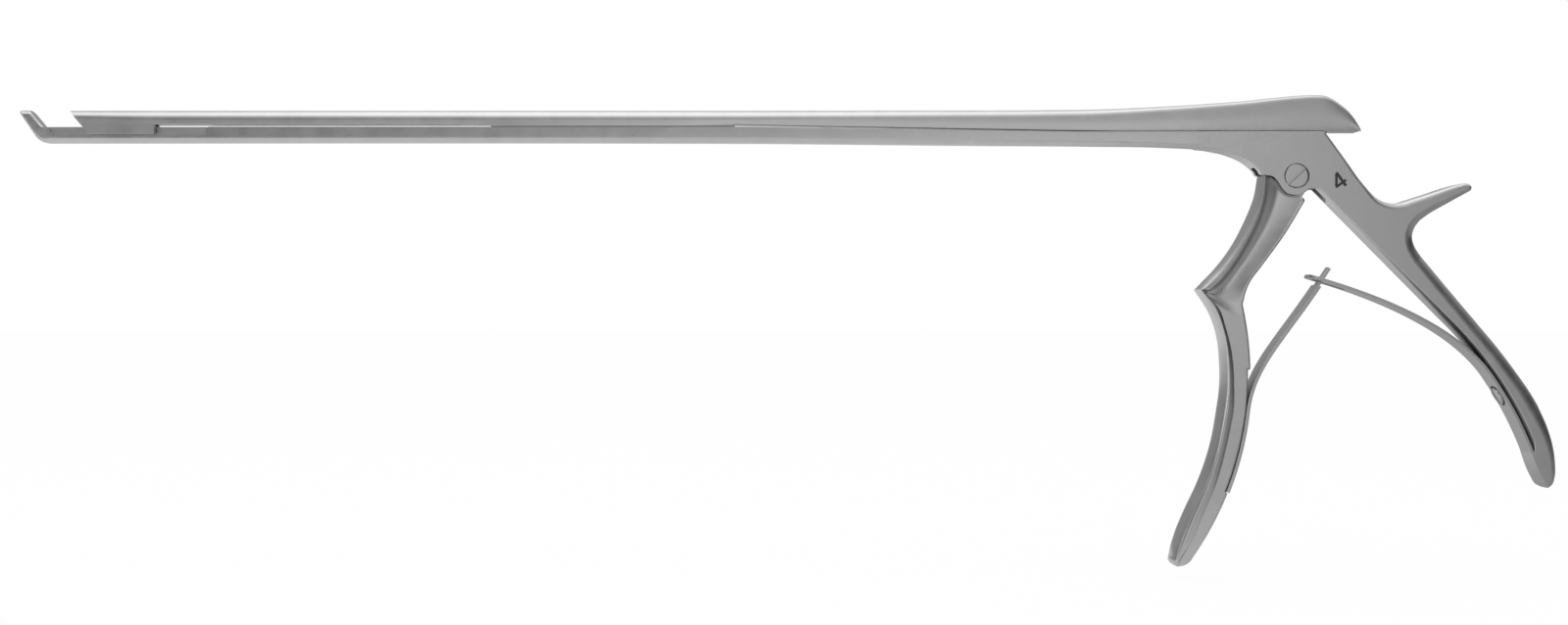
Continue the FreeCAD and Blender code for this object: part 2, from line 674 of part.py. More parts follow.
# The tapped hole for the rear leaf's screw, square to the handle's inner face.
rear_screw_place = size["handle_length"] - size["rear_screw_lift"]
rear_screw_seat = handle_point(rear_screw_place)
rear_screw_heading = handle_heading(rear_screw_place) - 90
rear_hole = circle(
    facing_sketch(frame, "rear_screw_hole", rear_screw_seat, rear_screw_heading),
    (0, 0),
    "Sizes.leaf_screw_shank / 2 + Sizes.leaf_screw_fit",
)
pocket(frame, rear_hole, "Sizes.leaf_screw_length", symmetric=False)


# The slider: the upper shaft, with the cutting nose, the guide block and the humped tail

slider = new_body("slider")
relief = size["relief_gap"]
bar_low = front_split + relief
slider_bar = bar_section(
    slider,
    "slider_bar",
    "-Sizes.taper_reach",
    size["shaft_width"],
    bar_low,
    slider_top,
    0,
    size["top_round"],
)
pad(slider, slider_bar, f"{-nose_top[0]} - Sizes.taper_reach", symmetric=False, backwards=True)

# The straight-sided part that widens to the tail.
tail_low = size["split_height"] + size["running_gap"]
slider_taper = bar_section(
    slider,
    "slider_taper",
    "-Sizes.taper_reach",
    size["shaft_width"],
    bar_low,
    slider_top,
    0,
    size["top_round"],
)
ramp = size["split_rise"] / (size["taper_reach"] - size["flare_reach"])
slider_flare = bar_section(
    slider,
    "slider_flare",
    "-Sizes.flare_reach",
    size["flare_width"],
    tail_low + ramp * size["jaw_opening"],
    size["split_height"] + size["flare_top"],
    0,
    size["top_round"],
)
# The underside stays level from here back, so that it clears the ramp when the jaw is shut.
level_part = size["jaw_opening"] / (size["flare_reach"] - size["body_reach"])
slider_level = bar_section(
    slider,
    "slider_level",
    "-Sizes.flare_reach + Sizes.jaw_opening",
    size["flare_width"] + level_part * (size["body_width"] - size["flare_width"]),
    tail_low,
    size["split_height"] + size["flare_top"] + level_part * (size["tail_rise"] - size["flare_top"]),
    0,
    size["top_round"],
)
slider_wide = bar_section(
    slider,
    "slider_wide",
    "-Sizes.body_reach",
    size["body_width"],
    tail_low,
    size["split_height"] + size["tail_rise"],
    0,
    size["top_round"],
)
loft(slider, [slider_taper, slider_flare, slider_level, slider_wide])

# The tail, humped over the lever's head.
hump_top = size["split_height"] + size["tail_top"]
hump_front = (size["hump_reach"] - size["hump_length"], hump_top)
hump_middle = (size["hump_reach"], hump_top - 0.1)
hump_back = (size["hump_reach"] + size["hump_length"] / 2, hump_top - size["hump_fall"])
tail_foot = (size["tail_reach"], tail_low)
tail = outline(
    new_sketch(slider, "tail"),
    (-size["body_reach"], size["split_height"] + size["tail_rise"]),
    hump_front,
    (hump_middle, hump_back),
    (bulged(hump_back, tail_foot, size["tail_bulge"]), tail_foot),
    (-size["body_reach"], tail_low),
)
pad(slider, tail, "Sizes.body_width")

# The middle land, which runs on the lower shaft.
land = rectangle(
    new_sketch(slider, "land"),
    -size["land_reach"],
    size["land_length"] - size["land_reach"],
    front_split + size["running_gap"],
    front_split + size["relief_gap"] + OVERLAP,
)
pad(slider, land, "Sizes.shaft_width")

# The guide block: two cheeks that hang into the windows, with a lip in each groove of the rail.
block_floor = window_floor + size["block_lift"]
block_rear = nose_top[0] + size["block_length"]
block = outline(
    new_sketch(slider, "block"),
    (nose_top[0] + lean * (slider_top - bar_low - OVERLAP), bar_low + OVERLAP),
    (block_rear, bar_low + OVERLAP),
    (block_rear, block_floor),
    (nose_top[0] + lean * (slider_top - block_floor), block_floor),
)
pad(slider, block, "Sizes.shaft_width")
nose_cut = outline(
    new_sketch(slider, "nose_cut"),
    (nose_top[0] - lean * PAST, slider_top + PAST),
    (nose_top[0] + lean * (slider_top - block_floor + PAST), block_floor - PAST),
    (nose_top[0] - 10 * PAST, block_floor - PAST),
    (nose_top[0] - 10 * PAST, slider_top + PAST),
)
pocket(slider, nose_cut)
channel = outline(
    new_sketch(slider, "channel"),
    (nose_top[0], front_split + size["running_gap"]),
    (block_rear + PAST, front_split + size["running_gap"]),
    (block_rear + PAST, block_floor - PAST),
    (nose_top[0], block_floor - PAST),
)
pocket(slider, channel, "Sizes.rail_width + 2 * Sizes.guide_gap")
lip_front = nose_top[0] + lean * (slider_top - groove_middle) + size["lip_setback"]
lip_half = size["groove_height"] / 2 - size["guide_gap"]
for side, name in ((1, "near"), (-1, "far")):
    lip = outline(
        new_sketch(
            slider,
            f"lip_{name}",
            offset=f"{side} * (Sizes.rail_width / 2 - Sizes.groove_depth + Sizes.guide_gap)",
        ),
        (lip_front, groove_middle + lip_half),
        (block_rear, groove_middle + lip_half),
        (block_rear, groove_middle - lip_half),
        (lip_front, groove_middle - lip_half),
    )
    pad(slider, lip, "Sizes.groove_depth + 0.1", symmetric=False, backwards=side < 0)

# The cup that takes the bitten bone, bored along the shaft into the slanted nose.
cup = circle(
    new_sketch(slider, "cup", "YZ_Plane", f"{nose_top[0] - 0.1}"),
    (0, (slider_top + front_split + size["guide_gap"]) / 2),
    "Sizes.cup_bore / 2",
)
pocket(slider, cup, f"{nose_foot[0] - nose_top[0]} + Sizes.cup_depth", symmetric=False, backwards=True)

# The guide tongue under the rear end, a T that runs in the body's slot.
tongue_neck = rectangle(
    new_sketch(slider, "tongue_neck"),
    -size["tongue_reach"],
    size["tongue_length"] - size["tongue_reach"],
    size["split_height"] - size["neck_height"],
    bar_low,
)
pad(slider, tongue_neck, "Sizes.neck_width")
tongue_head = rectangle(
    new_sketch(slider, "tongue_head"),
    -size["tongue_reach"],
    size["tongue_length"] - size["tongue_reach"],
    size["split_height"] - size["neck_height"] - size["tee_height"],
    size["split_height"] - size["neck_height"],
)
pad(slider, tongue_head, "Sizes.tee_width")

# The notch for the lever's head: upright walls where the head bears, flared below for the arm.
notch_half = size["head_radius"] + size["head_gap"]
notch_top = size["head_reach"] + size["head_radius"] + size["head_gap"]
notch_bend = size["head_reach"] * math.cos(math.radians(closed_lean)) - 0.2
notch_front = open_reach - notch_half
notch_rear = open_reach + notch_half
head_notch = outline(
    new_sketch(slider, "head_notch"),
    (notch_front - size["notch_flare"], tail_low - 0.1),
    (notch_front, notch_bend),
    (notch_front, notch_top),
    (notch_rear, notch_top),
    (notch_rear, notch_bend),
    (notch_rear + size["notch_flare"], tail_low - 0.1),
)
pocket(slider, head_notch, "Sizes.slot_width")


# The front lever: tongue in the slot, finger rest, knee and grip

front_lever = new_body("front_lever")
ear_gap, gap_touch, gap_shoulder, gap_crest = s_edge(size["lever_gap"])[:4]
lever_top = along(gap_crest, size["chin_heading"], size["chin_run"])
knee = (elbow[0] - size["knee_reach"], elbow[1] - size["knee_drop"])
finger_middle = bulged(knee, lever_top, -size["finger_bulge"])
throat = along(knee, size["throat_heading"], size["throat_run"])
# Places up the grip from its tip, and what its depth gains there.
grip_places = [50, 36, 20, 8, 1.5]
grip_gains = [0, size["grip_swell"], size["grip_swell"], -size["grip_thinning"], -size["grip_tip_thinning"]]
grip_front = [grip_point(place, size["grip_depth"] + gain) for place, gain in zip(grip_places, grip_gains)]
grip_ridge = [grip_point(place, size["grip_depth"] - size["flange_depth"]) for place in grip_places]
tip_low = along(grip_end, size["grip_tip_heading"], size["grip_tip_run"])
corner_start = polar(ear_gap, size["corner_place"])
web_corner = along(corner_start, -10, size["corner_run"])
web = outline(
    new_sketch(front_lever, "web"),
    lever_top,
    gap_crest,
    (gap_shoulder, gap_touch),
    (polar(ear_gap, -120), corner_start),
    web_corner,
    (bulged(web_corner, back_top, 0.25), back_top),
    elbow,
    (bulged(elbow, grip_top, -size["elbow_bulge"]), grip_top),
    (grip_point(size["grip_length"] / 2), grip_end),
    (bulged(grip_end, tip_low, size["grip_tip_bulge"]), tip_low),
    grip_front[-1],
    grip_front[-2::-1] + [throat],
    knee,
    (finger_middle, lever_top),
)
pad(front_lever, web, "Sizes.web_width")
flange_top = along(lever_top, 0, size["flange_top"])
flange_knee = along(knee, 10, size["flange_depth"])
flange = outline(
    new_sketch(front_lever, "flange"),
    knee,
    (finger_middle, lever_top),
    flange_top,
    (bulged(flange_knee, flange_top, -size["finger_bulge"]), flange_knee),
    grip_ridge,
    tip_low,
    grip_front[-1],
    grip_front[-2::-1] + [throat],
)
pad(front_lever, flange, "Sizes.flange_width")

# The tongue: hub round the pivot, arm up to the head, and the root that joins the web.
tongue = "Sizes.slot_width - 2 * Sizes.slot_gap"
root_corners = [(-3.6, 1.0), (2.9, -2.6), (1.5, -4.9), (-1.5, -6.5), (-7.0, -4.5), (-6.2, -1.2)]
root = outline(new_sketch(front_lever, "tongue_root"), *root_corners)
pad(front_lever, root, tongue)
pad(front_lever, circle(new_sketch(front_lever, "hub"), (0, 0), "Sizes.hub_radius"), tongue)
arm_heading = 90 - size["head_lean"]
arm = outline(
    new_sketch(front_lever, "arm"),
    polar(size["arm_root"] / 2, arm_heading + 90),
    along(head_centre, arm_heading + 90, size["arm_width"] / 2),
    along(head_centre, arm_heading - 90, size["arm_width"] / 2),
    polar(size["arm_root"] / 2, arm_heading - 90),
)
pad(front_lever, arm, tongue)
head = circle(
    new_sketch(front_lever, "head"),
    head_centre,
    "Sizes.head_radius",
)
pad(front_lever, head, tongue)
bore = circle(new_sketch(front_lever, "bore"), (0, 0), "Sizes.screw_shank / 2 + Sizes.screw_fit")
pocket(front_lever, bore)

# The front leaf's seat, sunk in the grip's back, and the hole for its screw.
seat_low = size["front_root"] - size["seat_margin"]
seat_high = size["front_lift"] + size["seat_run_out"]
seat_middle = (seat_low + seat_high) / 2
front_seat = outline(
    new_sketch(front_lever, "front_seat"),
    grip_point(seat_low, size["front_seat"]),
    (grip_point(seat_middle, size["front_seat"]), grip_point(seat_high, size["front_seat"])),
    grip_point(seat_high + PAST, -PAST),
    (grip_point(seat_middle, -PAST), grip_point(seat_low, -PAST)),
)
pocket(front_lever, front_seat)
front_screw_seat = grip_point(size["front_screw_place"], size["front_seat"])
front_screw_heading = grip_slope(size["front_screw_place"]) - 90
front_hole = circle(
    facing_sketch(front_lever, "front_screw_hole", front_screw_seat, front_screw_heading),
    (0, 0),
    "Sizes.leaf_screw_shank / 2 + Sizes.leaf_screw_fit",
)
pocket(front_lever, front_hole, "Sizes.leaf_screw_length", symmetric=False)


# The pivot screw: a slotted head flush with the body's side, its shank through both cheeks

pivot_screw = new_body("pivot_screw")
head_plane = "Sizes.body_width / 2 - Sizes.screw_head_depth"
head_sketch = new_sketch(pivot_screw, "screw_head", offset=head_plane)
screw_head = circle(head_sketch, (0, 0), "Sizes.screw_head / 2")
pad(pivot_screw, screw_head, "Sizes.screw_head_depth", symmetric=False)
shank_sketch = new_sketch(pivot_screw, "shank", offset=head_plane)
shank = circle(shank_sketch, (0, 0), "Sizes.screw_shank / 2")
pad(pivot_screw, shank, "Sizes.body_width - Sizes.screw_head_depth", symmetric=False, backwards=True)
screw_slot = outline(
    new_sketch(pivot_screw, "screw_slot", offset="Sizes.body_width / 2"),
    *turned_rectangle(size["screw_slot_angle"], size["screw_head"], size["screw_slot"] / 2),
)
pocket(pivot_screw, screw_slot, "Sizes.screw_slot_depth", symmetric=False)


# The two leaf springs, each a curved strip; the front one's tongue goes through the rear one's slot

def strip(points, thickness):
    """The same points moved by a thickness to the right of their run."""
    moved = []
    for index, point in enumerate(points):
        before = points[max(0, index - 1)]
        after = points[min(len(points) - 1, index + 1)]
        heading = math.degrees(math.atan2(after[1] - before[1], after[0] - before[0]))
        moved.append(along(point, heading - 90, thickness))
    return moved


rear_leaf = new_body("rear_leaf_spring")
lift_off = handle_point(size["rear_lift"], -size["leaf_gap"])
lift_heading = handle_heading(size["rear_lift"]) + 180
rear_tip_heading = 180 - size["rear_slope_tip"]
seated_length = size["handle_length"] - 0.1 - size["rear_lift"]
seated = [
    handle_point(size["rear_lift"] + part * seated_length, -size["leaf_gap"])
    for part in (1, 0.75, 0.5, 0.25)
]
free = bezier(
    lift_off,
    along(lift_off, lift_heading, size["root_pull"]),
    along(crossing, rear_tip_heading - 180, size["rear_pull"]),
    crossing,
)
rear_path = seated + free + [along(crossing, rear_tip_heading, size["rear_overhang"])]
rear_face = strip(rear_path, -size["spring_thickness"])
rear_strip = outline(
    new_sketch(rear_leaf, "rear_strip"), rear_path[0], rear_path[1:], rear_face[-1], rear_face[-2::-1]
)
pad(rear_leaf, rear_strip, "Sizes.spring_width")
slot_tip = along(crossing, rear_tip_heading, size["rear_overhang"] - size["leaf_slot_rim"])
slot_root = along(slot_tip, rear_tip_heading - 180, size["leaf_slot_length"])
leaf_slot = outline(
    new_sketch(rear_leaf, "leaf_slot"),
    along(slot_tip, rear_tip_heading + 90, size["spring_thickness"] + PAST),
    along(slot_tip, rear_tip_heading - 90, size["spring_thickness"] + PAST),
    along(slot_root, rear_tip_heading - 90, size["spring_thickness"] + PAST),
    along(slot_root, rear_tip_heading + 90, size["spring_thickness"] + PAST),
)
pocket(rear_leaf, leaf_slot, "Sizes.leaf_slot_width")
above_leaf = along(rear_screw_seat, rear_screw_heading, size["spring_thickness"] + PAST)
rear_leaf_hole = circle(
    facing_sketch(rear_leaf, "rear_leaf_hole", above_leaf, rear_screw_heading),
    (0, 0),
    "Sizes.leaf_screw_shank / 2 + Sizes.leaf_screw_fit",
)
pocket(rear_leaf, rear_leaf_hole, "4", symmetric=False)

front_leaf = new_body("front_leaf_spring")
on_seat = size["front_seat"] - size["leaf_gap"]
front_lift_off = grip_point(size["front_lift"], on_seat)
seated = [
    grip_point(size["front_root"] + part * (size["front_lift"] - size["front_root"]), on_seat)
    for part in (0, 0.25, 0.5, 0.75)
]
front_tip_heading = size["front_slope_tip"]
front_crossing = along(crossing, rear_tip_heading, size["front_offset"])
shoulder_place = along(front_crossing, front_tip_heading - 180, size["leaf_shoulder"])
free = bezier(
    front_lift_off,
    along(front_lift_off, grip_slope(size["front_lift"]), size["root_pull"]),
    along(shoulder_place, front_tip_heading - 180, size["front_pull"]),
    shoulder_place,
)
front_path = seated + free
front_face = strip(front_path, size["spring_thickness"])
front_strip = outline(
    new_sketch(front_leaf, "front_strip"), front_path[0], front_path[1:], front_face[-1], front_face[-2::-1]
)
pad(front_leaf, front_strip, "Sizes.spring_width")
tongue_start = along(shoulder_place, front_tip_heading - 180, PAST)
tongue_end = along(front_crossing, front_tip_heading, size["leaf_tongue_length"])
leaf_tongue = outline(
    new_sketch(front_leaf, "leaf_tongue"),
    along(tongue_start, front_tip_heading - 90, 0.15),
    along(shoulder_place, front_tip_heading - 90, 0),
    tongue_end,
    along(tongue_end, front_tip_heading - 90, size["spring_thickness"]),
    along(shoulder_place, front_tip_heading - 90, size["spring_thickness"]),
    along(tongue_start, front_tip_heading - 90, size["spring_thickness"] - 0.15),
)
pad(front_leaf, leaf_tongue, "Sizes.leaf_tongue_width")
front_leaf_face = along(front_screw_seat, front_screw_heading, size["spring_thickness"] + size["leaf_gap"])
above_leaf = along(front_leaf_face, front_screw_heading, PAST)
front_leaf_hole = circle(
    facing_sketch(front_leaf, "front_leaf_hole", above_leaf, front_screw_heading),
    (0, 0),
    "Sizes.leaf_screw_shank / 2 + Sizes.leaf_screw_fit",
)
pocket(front_leaf, front_leaf_hole, "3", symmetric=False)
sunk_floor = along(front_leaf_face, front_screw_heading, -size["sunk_head_depth"])
head_seat = circle(
    facing_sketch(front_leaf, "head_seat", sunk_floor, front_screw_heading),
    (0, 0),
    "Sizes.sunk_head / 2 + Sizes.leaf_screw_fit",
)
pocket(front_leaf, head_seat, "2", symmetric=False, backwards=True)


# The two leaf screws, each square to its leaf: the rear one's head stands on its leaf, the front
# one's is sunk flush

screws = []
rear_leaf_face = along(rear_screw_seat, rear_screw_heading, size["spring_thickness"] + 2 * size["leaf_gap"])
for label, face, heading, across, height in (
    ("rear_spring_screw", rear_leaf_face, rear_screw_heading, "leaf_screw_head", "leaf_screw_rise"),
    ("front_spring_screw", sunk_floor, front_screw_heading, "sunk_head", "sunk_head_depth"),
):
    screw = new_body(label)
    head_sketch = facing_sketch(screw, f"{label}_head", face, heading)
    leaf_head = circle(head_sketch, (0, 0), f"Sizes.{across} / 2")
    pad(screw, leaf_head, f"Sizes.{height}", symmetric=False)
    shank_sketch = facing_sketch(screw, f"{label}_shank", face, heading)
    leaf_shank = circle(shank_sketch, (0, 0), "Sizes.leaf_screw_shank / 2")
    pad(screw, leaf_shank, "Sizes.leaf_screw_length", symmetric=False, backwards=True)
    driver_slot = outline(
        facing_sketch(screw, f"{label}_slot", along(face, heading, size[height]), heading),
        *turned_rectangle(0, size[across], size["leaf_screw_slot"] / 2),
    )
    pocket(screw, driver_slot, "Sizes.leaf_screw_slot_depth", symmetric=False)
    screws.append(screw)


# Every feature has to be sound before the pieces go out

pieces = [frame, slider, front_lever, pivot_screw, rear_leaf, front_leaf] + screws
doc.recompute()
for feature in doc.Objects:
    bad = [state for state in feature.State if state in ("Invalid", "Error")]
    if bad:
        raise ValueError(f"{feature.Name} is {bad}")
os.makedirs("parts", exist_ok=True)
for piece in pieces:
    shape = piece.Shape
    if shape.isNull() or not shape.isValid() or len(shape.Solids) != 1:
        raise ValueError(f"{piece.Label} is not one sound solid")
    shape.exportStep(f"parts/{piece.Label}.step")
    print(piece.Label, round(shape.Volume, 1), shape.BoundBox)
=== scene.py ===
import math

import bmesh
import bpy
import numpy as np
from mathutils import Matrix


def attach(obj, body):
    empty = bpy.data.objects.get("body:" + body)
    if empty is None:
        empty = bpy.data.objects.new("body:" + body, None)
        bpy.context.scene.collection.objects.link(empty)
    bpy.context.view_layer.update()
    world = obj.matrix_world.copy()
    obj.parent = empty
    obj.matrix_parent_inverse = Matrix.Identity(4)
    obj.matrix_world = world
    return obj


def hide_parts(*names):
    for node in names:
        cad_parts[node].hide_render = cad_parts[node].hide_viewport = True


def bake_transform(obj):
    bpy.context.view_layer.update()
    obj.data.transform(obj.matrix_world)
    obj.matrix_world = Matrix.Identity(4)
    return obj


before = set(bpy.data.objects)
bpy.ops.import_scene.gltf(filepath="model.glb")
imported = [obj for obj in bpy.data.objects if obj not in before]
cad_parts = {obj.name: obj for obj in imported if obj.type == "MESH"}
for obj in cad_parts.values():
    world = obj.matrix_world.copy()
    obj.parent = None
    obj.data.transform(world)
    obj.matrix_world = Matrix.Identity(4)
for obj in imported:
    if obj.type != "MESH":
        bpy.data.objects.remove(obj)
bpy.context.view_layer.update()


# The lower shaft is a slim milled bar of stainless steel, the front of the one forging that the
# rear handle belongs to. Its tip is turned up into the footplate that the bone is bitten
# against, and it widens and sinks towards the body.

def smooth_line(points, count):
    """A line through the points, at even steps along its chords. Between two points it is the
    cubic whose ends run along the mean of the chords that meet there, the shorter one counting
    more."""
    points = np.asarray(points, float)
    chords = np.diff(points, axis=0)
    reach = np.hypot(chords[:, 0], chords[:, 1])
    slopes = chords / reach[:, None]
    share = (reach[1:] / (reach[1:] + reach[:-1]))[:, None]
    middle = slopes[:-1] * share + slopes[1:] * (1 - share)
    slopes = np.vstack([slopes[:1], middle, slopes[-1:]])
    stops = np.concatenate([[0.0], np.cumsum(reach)])
    place = np.linspace(0.0, stops[-1], count)
    span = np.clip(np.searchsorted(stops, place, side="right") - 1, 0, len(reach) - 1)
    part = ((place - stops[span]) / reach[span])[:, None]
    pull = reach[span][:, None]
    return (
        (2 * part**3 - 3 * part**2 + 1) * points[span]
        + (part**3 - 2 * part**2 + part) * pull * slopes[span]
        + (3 * part**2 - 2 * part**3) * points[span + 1]
        + (part**3 - part**2) * pull * slopes[span + 1]
    )


def eased(places, points):
    """The height at these places of the smooth line through the points."""
    line = smooth_line(points, 600)
    return np.interp(places, line[:, 0], line[:, 1])


def woven(rows, columns, closed):
    """The four-sided faces between neighbours of a grid, its columns closed to a ring or not."""
    index = np.arange(rows * columns).reshape(rows, columns)
    if closed:
        index = np.hstack([index, index[:, :1]])
    corners = [index[:-1, :-1], index[:-1, 1:], index[1:, 1:], index[1:, :-1]]
    return np.stack(corners, axis=-1).reshape(-1, 4)


# Shapes are drawn in millimetres about the pivot axis, which lies here in the frame's own metres.
pivot_place = (-0.0262, 0.0, 0.0136)


def make_piece(name, points, faces, caps=()):
    """A closed mesh from millimetre places about the pivot, put into the frame's own metres. Its
    doubles are merged, its normals turned outwards, and its edges sharp where faces turn by 35
    degrees or more."""
    places = np.asarray(points, float).reshape(-1, 3) / 1000 + pivot_place
    mesh = bpy.data.meshes.new(name)
    mesh.from_pydata(places.tolist(), [], faces.tolist() + [list(map(int, cap)) for cap in caps])
    work = bmesh.new()
    work.from_mesh(mesh)
    bmesh.ops.remove_doubles(work, verts=work.verts, dist=2e-7)
    bmesh.ops.dissolve_degenerate(work, edges=work.edges, dist=1e-7)
    bmesh.ops.recalc_face_normals(work, faces=work.faces)
    work.to_mesh(mesh)
    work.free()
    piece = bpy.data.objects.new(name, mesh)
    bpy.context.collection.objects.link(piece)
    soften(piece)
    return piece


def soften(piece):
    """Shades a piece round, but for edges where its faces turn by 35 degrees or more."""
    mesh = piece.data
    mesh.polygons.foreach_set("use_smooth", np.ones(len(mesh.polygons), bool))
    mesh.set_sharp_from_angle(angle=math.radians(35))
    mesh.update()


def carried_bar(name, inner, outer, half, inner_round, outer_round, belly=0.0, taper=0.0):
    """A bar carried along two lines of the side view. At each step its section is a rectangle
    from the inner line to the outer one, as wide to both sides as half says, with its corners
    rounded by quarter circles; both ends are closed flat. With h from -1 on the inner line to 1
    on the outer one, its sides draw in by belly times h squared plus taper times (1 + h)."""
    inner, outer = np.asarray(inner, float), np.asarray(outer, float)
    steps = len(inner)
    depth = np.hypot(*(outer - inner).T)
    up = (outer - inner) / depth[:, None]
    half = np.broadcast_to(half, steps)
    low = np.minimum(np.broadcast_to(inner_round, steps), 0.25 * depth)[:, None]
    high = np.minimum(np.broadcast_to(outer_round, steps), 0.7 * depth)[:, None]
    wide, deep = half[:, None], depth[:, None]
    turn = np.radians(np.linspace(0, 90, 7))[None, :]
    flat = np.array([0.0, 0.5])[None, :]
    side = np.linspace(0, 1, 11)[None, 1:-1]
    across = np.hstack([
        flat * (wide - low),
        wide - low + low * np.sin(turn),
        wide + 0 * side,
        wide - high + high * np.cos(turn),
        flat[:, ::-1] * (wide - high),
    ])
    height = np.hstack([
        0 * flat + 0 * wide,
        low - low * np.cos(turn),
        low + side * (deep - low - high),
        deep - high + high * np.sin(turn),
        0 * flat + deep,
    ])
    belly, taper = (np.broadcast_to(amount, steps)[:, None] for amount in (belly, taper))
    part = 2 * height / deep - 1
    across = across * (1 - (belly * part**2 + taper * (1 + part)) / wide)
    across = np.hstack([across, -across[:, -2:0:-1]])
    height = np.hstack([height, height[:, -2:0:-1]])
    flats = inner[:, None, :] + height[..., None] * up[:, None, :]
    points = np.stack([flats[..., 0], across, flats[..., 1]], axis=-1)
    around = points.shape[1]
    ends = [np.arange(around), (steps - 1) * around + np.arange(around)[::-1]]
    return make_piece(name, points, woven(steps, around, True), ends)


def cut_away(piece, *cutters):
    """Takes the cutters out of a piece, and then takes them out of the scene."""
    for cutter in cutters:
        cut = piece.modifiers.new("cut", "BOOLEAN")
        cut.solver = "EXACT"
        cut.object = cutter
    shown = piece.evaluated_get(bpy.context.evaluated_depsgraph_get())
    worked = bpy.data.meshes.new_from_object(shown)
    piece.modifiers.clear()
    piece.data = worked
    for cutter in cutters:
        bpy.data.objects.remove(cutter)
    soften(piece)


def slab(name, corners, half, middle=0.0):
    """A flat cutter: these corners of the side view, half as thick to both sides of middle."""
    corners = np.asarray(corners, float)
    count = len(corners)
    low = np.column_stack([corners[:, 0], np.full(count, middle - half), corners[:, 1]])
    high = low + (0.0, 2 * half, 0.0)
    ends = [np.arange(count), count + np.arange(count)[::-1]]
    return make_piece(name, np.stack([low, high]), woven(2, count, True), ends)


def feed(tree, socket, value):
    """Sets a socket to a plain value, or links it to another node's output."""
    if isinstance(value, bpy.types.NodeSocket):
        tree.links.new(value, socket)
    else:
        socket.default_value = value


def add_node(tree, kind, inputs=None, **settings):
    """A shader node of this kind, with its settings made and its inputs fed."""
    node = tree.nodes.new("ShaderNode" + kind)
    for name, value in settings.items():
        setattr(node, name, value)
    for name, value in (inputs or {}).items():
        feed(tree, node.inputs[name], value)
    return node


def steel(name, colour, smoothest, roughest, streaks):
    """Bead-blasted stainless steel: roughness from a fine grain and a wider mottle, 45 parts to
    55, a faint colour drift with the mottle, and a bump from the grain. Streaks stretch the
    grain along X."""
    material = bpy.data.materials.new(name)
    material.use_nodes = True
    tree = material.node_tree
    place = add_node(tree, "TexCoord").outputs["Object"]
    stretched = add_node(tree, "Mapping", {"Vector": place, "Scale": (1.0 / streaks, 1.0, 1.0)})
    grain = add_node(tree, "TexNoise", {
        "Vector": stretched.outputs["Vector"], "Scale": 3200.0, "Detail": 3.0,
    }).outputs["Fac"]
    mottle = add_node(tree, "TexNoise", {"Vector": place, "Scale": 260.0, "Detail": 4.0}).outputs["Fac"]
    share = add_node(tree, "Math", {0: mottle, 1: 0.55}, operation="MULTIPLY")
    blend = add_node(tree, "Math", {0: grain, 1: 0.45, 2: share.outputs["Value"]}, operation="MULTIPLY_ADD")
    matt = add_node(tree, "MapRange", {
        "Value": blend.outputs["Value"],
        "From Min": 0.3, "From Max": 0.7, "To Min": smoothest, "To Max": roughest,
    })
    drift = add_node(tree, "ValToRGB", {"Fac": mottle})
    for element, position, strength in zip(drift.color_ramp.elements, (0.32, 0.68), (0.95, 1.04)):
        element.position = position
        element.color = tuple(strength * part for part in colour) + (1.0,)
    bump = add_node(tree, "Bump", {"Height": grain, "Strength": 0.25, "Distance": 0.00001})
    shader = tree.nodes["Principled BSDF"]
    feed(tree, shader.inputs["Metallic"], 1.0)
    feed(tree, shader.inputs["Roughness"], matt.outputs["Result"])
    feed(tree, shader.inputs["Base Color"], drift.outputs["Color"])
    feed(tree, shader.inputs["Normal"], bump.outputs["Normal"])
    return material


satin = steel("satin_stainless", (0.50, 0.50, 0.505), 0.27, 0.37, 2.0)

plate_rows, heel_rows = 21, 14
plate_outer = np.vstack([
    [(-287.6, 14.95), (-287.82, 14.85), (-287.9, 14.65)],
    np.linspace((-287.85, 14.5), (-284.65, 9.75), plate_rows - 2)[:-1],
])
plate_inner = np.linspace((-285.69, 14.95), (-283.3, 12.1), plate_rows + 1)[:-1]
heel_outer = smooth_line([
    (-284.65, 9.75), (-283.95, 8.75), (-283.2, 8.05), (-282.2, 7.62), (-280.9, 7.55),
], heel_rows)
heel_inner = smooth_line([(-283.3, 12.1), (-282.8, 11.48), (-282.3, 11.2), (-281.2, 11.2)], heel_rows)
shaft_places = np.concatenate([
    np.linspace(-280.5, -246, 24),
    np.linspace(-243, -128, 40),
    np.linspace(-125, -16, 90),
])
shaft_low = eased(shaft_places, [
    (-281, 7.55), (-155, 7.55), (-124, 7.48), (-71, 7.05), (-47, 6.95), (-28.8, 6.72), (-21, 6.28),
    (-16, 5.35),
])
shaft_top = np.interp(shaft_places, [-281, -124, -49, -16], [11.2, 11.2, 10.0, 10.0])
full_half = 3.49
width_line = [
    (-200, 2.2), (-150, 2.2), (-118, 2.22), (-85, 2.4), (-49, 2.78), (-34, 3.2), (-22, 3.47),
    (-14, full_half), (0, full_half),
]
outer = np.vstack([plate_outer, heel_outer, np.column_stack([shaft_places, shaft_low])])
inner = np.vstack([plate_inner, heel_inner, np.column_stack([shaft_places, shaft_top])])
rise = np.clip((plate_outer[:, 1] - 13.5) / 1.45, 0.0, 1.0)
half = np.concatenate([
    2.0 - 1.45 * (1 - np.sqrt(1 - 0.96 * rise**2)),
    np.linspace(2.0, 2.2, heel_rows),
    np.minimum(eased(shaft_places, width_line), full_half),
])
inner_round = np.concatenate([
    np.full(plate_rows, 0.55),
    np.linspace(0.55, 0.1, heel_rows),
    np.full(len(shaft_places), 0.1),
])
